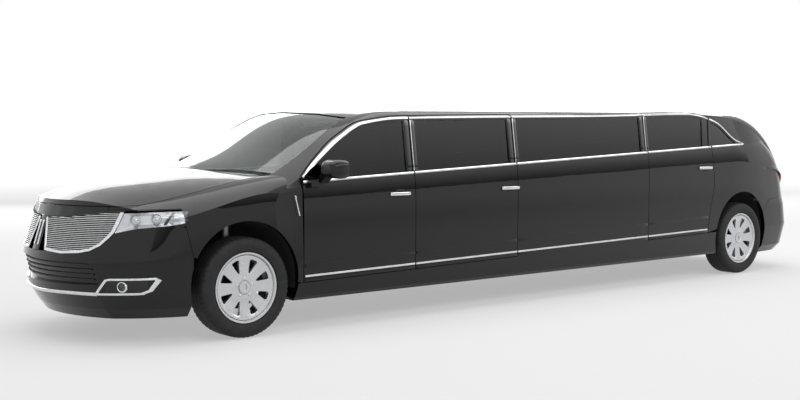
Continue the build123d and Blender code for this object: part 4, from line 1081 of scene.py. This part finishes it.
def corner_sheet(name, foot, head, columns, rows, depth):
    """A sheet between two edges of (u, z) points. depth(s, t) pushes it out, s along and t up it."""
    table = []
    for row in range(rows + 1):
        line = []
        for column in range(columns + 1):
            s, t = column / columns, row / rows
            low, high = along(foot, s), along(head, s)
            u, z = low.lerp(high, t)
            line.append(corner_point(u, z, depth(s, t)))
        table.append(line)
    piece = draped(name, table)
    normal = sum((face.normal for face in piece.data.polygons), Vector())
    if normal.dot(INWARD) > 0:
        flip(piece)
    return piece


# %% Headlamps
LAMP_FOOT = [(-2.268, 0.800), (-2.120, 0.832), (-1.900, 0.848), (-1.815, 0.862), (-1.790, 0.880)]
LAMP_HEAD = [(-2.208, 0.938), (-2.090, 0.941), (-1.900, 0.943), (-1.815, 0.944), (-1.797, 0.944)]
LAMP_UNDER = [(-2.300, 0.786), (-2.120, 0.782), (-1.900, 0.812), (-1.815, 0.836), (-1.790, 0.856)]
LENS_WALL, TRAY_DEPTH = 0.003, 0.030
silver, tree, shader = material("aluminised_reflector", "#E8E9EB", 0.12, 0.6)
tree.links.new(spread(tree, grain(tree, 90, 3.0).outputs["Fac"], 0.10, 0.24), shader.inputs["Roughness"])


def tray_depth(s, t):
    """The reflector tray: level with the skin at its edge and sunk inside."""
    edge = min(s, 1 - s) * 6, min(t, 1 - t) * 5
    return -0.0025 - TRAY_DEPTH * min(1.0, min(edge))


lens = corner_sheet("headlamp_lens_left", LAMP_FOOT, LAMP_HEAD, 40, 12, lambda s, t: 0.0)
thicken(lens, LENS_WALL, 0.0008)
lens = dress(lens, "lamp_clear", "body")
reflector = corner_sheet("headlamp_reflector_left", LAMP_FOOT, LAMP_HEAD, 48, 20, tray_depth)
thicken(reflector, 0.0012)
reflector = dress(reflector, silver, "body", 40)
filler = corner_sheet("headlamp_apron_left", LAMP_UNDER, LAMP_FOOT, 40, 6, lambda s, t: 0.0)
thicken(filler, 0.0012)
filler = dress(filler, "body_paint", "body")
bowls = []
BOWL = [
    (-0.020, 0.0), (-0.016, 0.020), (-0.004, 0.032), (0.006, 0.0375), (0.008, 0.0375), (-0.002, 0.033),
    (-0.010, 0.027)
]
for u, z in ((-2.13, 0.890), (-1.99, 0.897)):
    bowls.append(
        lathe(
            "bowl", [*BOWL, (-0.010, 0.019), (0.000, 0.016), (0.005, 0.009), (0.007, 0.0)], 40,
            corner_point(u, z, -0.014), -INWARD
        )
    )
bowls = dress(joined("headlamp_bowls_left", *bowls), "chrome_trim", "body")
RIB_FOOT = [(-1.945, 0.853), (-1.94, 0.853), (-1.935, 0.853), (-1.93, 0.853), (-1.925, 0.853)]
RIB_HEAD = [(-1.895, 0.938), (-1.89, 0.938), (-1.885, 0.938), (-1.88, 0.938), (-1.875, 0.938)]
rib = corner_sheet("headlamp_rib_left", RIB_FOOT, RIB_HEAD, 4, 10, lambda s, t: -0.004)
thicken(rib, 0.002)
rib = dress(rib, "black_trim", "body")
for piece in (lens, reflector, filler, bowls, rib):
    other_side(piece, piece.name.replace("left", "right"), "body")
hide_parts("headlamps")
print("headlamps: lens", len(lens.data.polygons), "faces, bowls", len(bowls.data.polygons))

# %% [markdown]
# ## Pillar covers, fender vent and rear window trim
# Gloss black covers hide the pillars between the windows, and a bright line runs up each front edge. The
# vent behind the front wheel is a dark slot with a bright bar. Both are draped like the strips.

# %% Pillar covers
PILLARS = [
    # node, x at the belt, lean towards the rear at the top, width
    ("front_door_left", 1.428, 0.0, 0.040), ("mid_door_left", 1.366, 0.0, 0.040),
    ("mid_door_left", 0.270, 0.0, 0.040),
    ("bay_panel_left", 0.208, 0.0, 0.040), ("bay_panel_left", -1.498, 0.0, 0.040),
    ("rear_door_left", -1.562, 0.0, 0.040),
]
for number, (node, x, lean, wide) in enumerate(PILLARS):
    body = body_of_node[node]
    foot, head = belt(x) + 0.004, arch(x) - 0.020
    path = [(x - lean * i / 8, foot + (head - foot) * i / 8) for i in range(9)]
    both(
        side_strip(f"pillar_cover_left_{number}", path, wide, 0.003, node, body, PILLAR_GLOSS, soft=0.001),
        body
    )
for number, (node, x) in enumerate(
    (("mid_door_left", 1.386), ("bay_panel_left", 0.228), ("rear_door_left", -1.542))
):
    body = body_of_node[node]
    path = [(x, belt(x) + 0.004 + (arch(x) - belt(x) - 0.024) * i / 8) for i in range(9)]
    both(side_strip(f"pillar_line_left_{number}", path, 0.008, 0.0055, node, body, "chrome_trim"), body)
print("pillar covers:", len(PILLARS) * 2)

# %% Fender vent
VENT = [(2.560, 1.026), (2.551, 0.985), (2.541, 0.945), (2.531, 0.905), (2.523, 0.873)]
both(
    side_strip(
        "fender_vent_bed_left", VENT, 0.040, 0.003, "front_fender_left", "body", "black_trim",
        soft=0.001
    ),
    "body"
)
both(
    side_strip("fender_vent_bar_left", VENT, 0.011, 0.008, "front_fender_left", "body", "chrome_trim"),
    "body"
)
for number in range(5):
    x, z = 2.553 - 0.0075 * number, 1.010 - 0.031 * number
    path = [(x + 0.016, z + 0.003), (x, z), (x - 0.016, z - 0.003)]
    both(
        side_strip(
            f"fender_vent_louvre_left_{number}", path, 0.006, 0.006, "front_fender_left", "body",
            "black_trim"
        ),
        "body"
    )
print("fender vents set")

# %% [markdown]
# ## The tail
# The tailgate carries a bright bar, a blank recess for a plate and a wiper. The bumper has a reflector at
# each side and two exhaust tips below.

# %% Tail skin and trim
def tail_strip(name, path, wide, thick, node, body, finish, lift=0.0, step=0.05):
    """A strip along (y, z) points on the tail, faces backward."""
    fine = []
    for (ya, za), (yb, zb) in zip(path, path[1:]):
        count = max(1, round(Vector((yb - ya, zb - za)).length / step))
        fine += [(ya + (yb - ya) * i / count, za + (zb - za) * i / count) for i in range(count)]
    fine.append(path[-1])
    rows = [[], [], []]
    for i, (y, z) in enumerate(fine):
        ahead, behind = fine[min(i + 1, len(fine) - 1)], fine[max(i - 1, 0)]
        run = Vector((ahead[0] - behind[0], ahead[1] - behind[1])).normalized()
        for row, across in enumerate((-0.5, 0, 0.5)):
            py, pz = y - run.y * across * wide, z + run.x * across * wide
            hit = surface_of[node].ray_cast(Vector((-6, py, pz)), Vector((1, 0, 0)))[0]
            rows[row].append(Vector((hit.x - lift, py, pz)))
    piece = draped(name, rows)
    if piece.data.polygons[0].normal.x > 0:
        flip(piece)
    thicken(piece, thick, thick * 0.35, 0.001)
    return dress(piece, finish, body)


GATE = body_of_node["tailgate"]
tail_strip(
    "tailgate_bright_bar", [(-0.66, 1.010), (0, 1.010), (0.66, 1.010)], 0.026, 0.010, "tailgate", GATE,
    "chrome_trim"
)
tail_strip("plate_bed", [(-0.27, 0.905), (0.27, 0.905)], 0.130, 0.003, "tailgate", GATE, "black_trim")
tail_strip("blank_plate", [(-0.255, 0.905), (0.255, 0.905)], 0.105, 0.005, "tailgate", GATE, painted_alloy())
tail_strip("tailgate_grip", [(-0.16, 0.982), (0.16, 0.982)], 0.020, 0.016, "tailgate", GATE, "black_trim")
for side_name, side in (("left", 1), ("right", -1)):
    tail_strip(
        f"rear_reflector_{side_name}", [(0.58 * side, 0.560), (0.74 * side, 0.560)], 0.036, 0.006,
        "rear_bumper", "body", "lamp_red"
    )
    TIP = [(-0.045, 0.034), (0.030, 0.038), (0.036, 0.038), (0.036, 0.034), (0.028, 0.033), (-0.045, 0.030)]
    dress(
        lathe(f"exhaust_tip_{side_name}", TIP, 40, (-4.095, 0.46 * side, 0.250), (-1, 0, 0)),
        "chrome_trim", "body"
    )
tail_strip(
    "bumper_bright_line", [(-0.70, 0.440), (0, 0.440), (0.70, 0.440)], 0.016, 0.007, "rear_bumper",
    "body", "chrome_trim"
)
tail_strip(
    "rear_wiper_blade", [(-0.04, 1.448), (0.34, 1.462)], 0.012, 0.012, "tailgate_glass", GATE,
    "black_trim", 0.0005
)
print("tail trim set")

# %% [markdown]
# The sheet between the bonnet's lip and the wings is painted like the body. It closes the nose above
# the bars, and its lower edge follows the black strip of painted shadow along their top.

# %% Nose panel above the wings
HEADER_HALF, HEADER_TOP = 0.560, [(0.0, 0.977), (0.505, 0.967), (0.560, 0.955)]
rows = [[], [], [], [], []]
for column in range(41):
    y = HEADER_HALF * (2 * column / 40 - 1)
    foot, head = between([(b, a) for a, b in WING_TOP], abs(y)) - 0.002, between(HEADER_TOP, abs(y))
    for row, line in enumerate(rows):
        z = foot + (head - foot) * row / 4
        line.append(Vector((nose_x(y, z) - 0.001, y, z)))
header = draped("nose_header_panel", rows)
if header.data.polygons[0].normal.x < 0:
    flip(header)
thicken(header, 0.0016)
dress(header, "body_paint", "body")
print("nose header:", len(header.data.polygons), "faces")

# %% [markdown]
# ## Padded seats
# A seat pad is foam under stretched hide: crowned, pulled in between its corners, with sewn channels.
# A small block is remeshed, blown up a little as cloth with its movement capped, and smoothed. The
# channels are pressed in afterwards, since a remesh would lose them. Two patterns serve every seat.

# %% Pad patterns
VOXEL, SWELL_CAP, CHANNEL_DEPTH, CHANNEL_HALF = 0.014, 0.012, 0.006, 0.010
CUSHION_FRAMES = 16


def pad_pattern(name, wide, long, thick, channels):
    """A padded block lying flat round the origin, its upper face towards +Z."""
    pad = start(name, "cube", size=1)
    with Edit(pad, "EDGE"):
        bpy.ops.mesh.select_all(action="SELECT")
        bpy.ops.transform.resize(value=(wide - 2 * SWELL_CAP, long - 2 * SWELL_CAP, thick - 1.4 * SWELL_CAP))
        bpy.ops.mesh.bevel(offset=0.018, segments=3)
    pad.data.remesh_voxel_size = VOXEL
    focus(pad)
    bpy.ops.object.voxel_remesh()
    still = [vertex.co.copy() for vertex in pad.data.vertices]
    cloth = pad.modifiers.new("cloth", "CLOTH")
    cloth.settings.use_pressure = True
    cloth.settings.uniform_pressure_force = 4.0
    cloth.settings.effector_weights.gravity = 0.0
    cloth.point_cache.frame_end = CUSHION_FRAMES
    for number in range(1, CUSHION_FRAMES + 1):
        bpy.context.scene.frame_set(number)
    bpy.ops.object.modifier_apply(modifier="cloth")
    bpy.context.scene.frame_set(1)
    for vertex, place in zip(pad.data.vertices, still):
        moved = vertex.co - place
        vertex.co = place + moved * min(1.0, SWELL_CAP / max(moved.length, 1e-6))
    modify(pad, "SUBSURF", levels=1, render_levels=1)
    for vertex in pad.data.vertices:
        if vertex.co.z > 0:
            for channel in range(1, channels):
                line = wide * (channel / channels - 0.5)
                near = abs(vertex.co.x - line) / CHANNEL_HALF
                vertex.co.z -= CHANNEL_DEPTH * max(0.0, 1 - near) ** 2
    return pad


seat_pattern = pad_pattern("seat_pad", 0.46, 0.37, 0.100, 4)
back_pattern = pad_pattern("back_pad", 0.46, 0.43, 0.095, 4)
head_pattern = pad_pattern("head_pad", 0.27, 0.14, 0.080, 1)
print("pads:", [len(pad.data.polygons) for pad in (seat_pattern, back_pattern, head_pattern)])

# %% Seats
SHELL_INSET, PAD_SINK = 0.016, 0.052


def laid(pattern, name, surface, normal, across):
    """A copy of a pad whose crown lies at a place on a seat's surface."""
    normal, across = Vector(normal).normalized(), Vector(across).normalized()
    pad = copied(pattern, name)
    place = Vector(surface) - normal * PAD_SINK
    turn = Vector((0, 0, 1)).rotation_difference(normal).to_matrix()
    aim = turn @ Vector((1, 0, 0))
    spin = aim.rotation_difference(across).to_matrix()
    matrix = (spin @ turn).to_4x4()
    matrix.translation = place
    pad.data.transform(matrix)
    return pad


PAD_ROWS = {
    "front_seats": [
        (seat_pattern, [(1.795, y, 0.603) for y in (-0.38, 0.38)], (-0.08, 0, 1), (0, 1, 0)),
        (back_pattern, [(1.572, y, 0.830) for y in (-0.38, 0.38)], (1, 0, 0.163), (0, 1, 0)),
        (head_pattern, [(1.508, y, 1.205) for y in (-0.38, 0.38)], (1, 0, 0.187), (0, 1, 0)),
    ],
    "lounge_rear": [
        (seat_pattern, [(-2.138, y, 0.703) for y in (-0.485, 0.0, 0.485)], (-0.077, 0, 1), (0, 1, 0)),
        (back_pattern, [(-2.372, y, 0.940) for y in (-0.485, 0.0, 0.485)], (1, 0, 0.157), (0, 1, 0)),
    ],
    "lounge_front": [
        (seat_pattern, [(0.915, y, 0.703) for y in (-0.485, 0.0, 0.485)], (0.077, 0, 1), (0, 1, 0)),
        (back_pattern, [(1.149, y, 0.940) for y in (-0.485, 0.0, 0.485)], (-1, 0, 0.157), (0, 1, 0)),
    ],
    "lounge_side": [
        (seat_pattern, [(x, -0.425, 0.703) for x in (-1.59, -1.09, -0.57, -0.05)], (0, -0.083, 1), (1, 0, 0)),
        (back_pattern, [(x, -0.620, 0.895) for x in (-1.59, -1.09, -0.57, -0.05)], (0, 1, 0.093), (1, 0, 0)),
    ],
}
CUSHION_BODY = body_of_node["front_seats"]
for name, rows in PAD_ROWS.items():
    pads = [
        laid(pattern, "pad", spot, normal, across) for pattern, spots, normal, across in rows
        for spot in spots
    ]
    pads = dress(joined(f"{name}_pads", *pads), "seat_leather", CUSHION_BODY, 40)
for pattern in (seat_pattern, back_pattern, head_pattern):
    bpy.data.objects.remove(pattern)
for node in ("front_seats", "lounge_seats"):
    shell = copied(nodes[node], f"{node}_shell")
    outward(shell)
    with Edit(shell):
        bpy.ops.mesh.select_all(action="SELECT")
        bpy.ops.mesh.dissolve_limited(angle_limit=radians(2))
        bpy.ops.transform.shrink_fatten(value=-SHELL_INSET, use_even_offset=True)
    modify(shell, "BEVEL", width=0.012, segments=3, limit_method="ANGLE", angle_limit=radians(25))
    dress(shell, FINISH["partition_trim"], CUSHION_BODY, 40)
    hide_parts(node)
print("seats: padded")
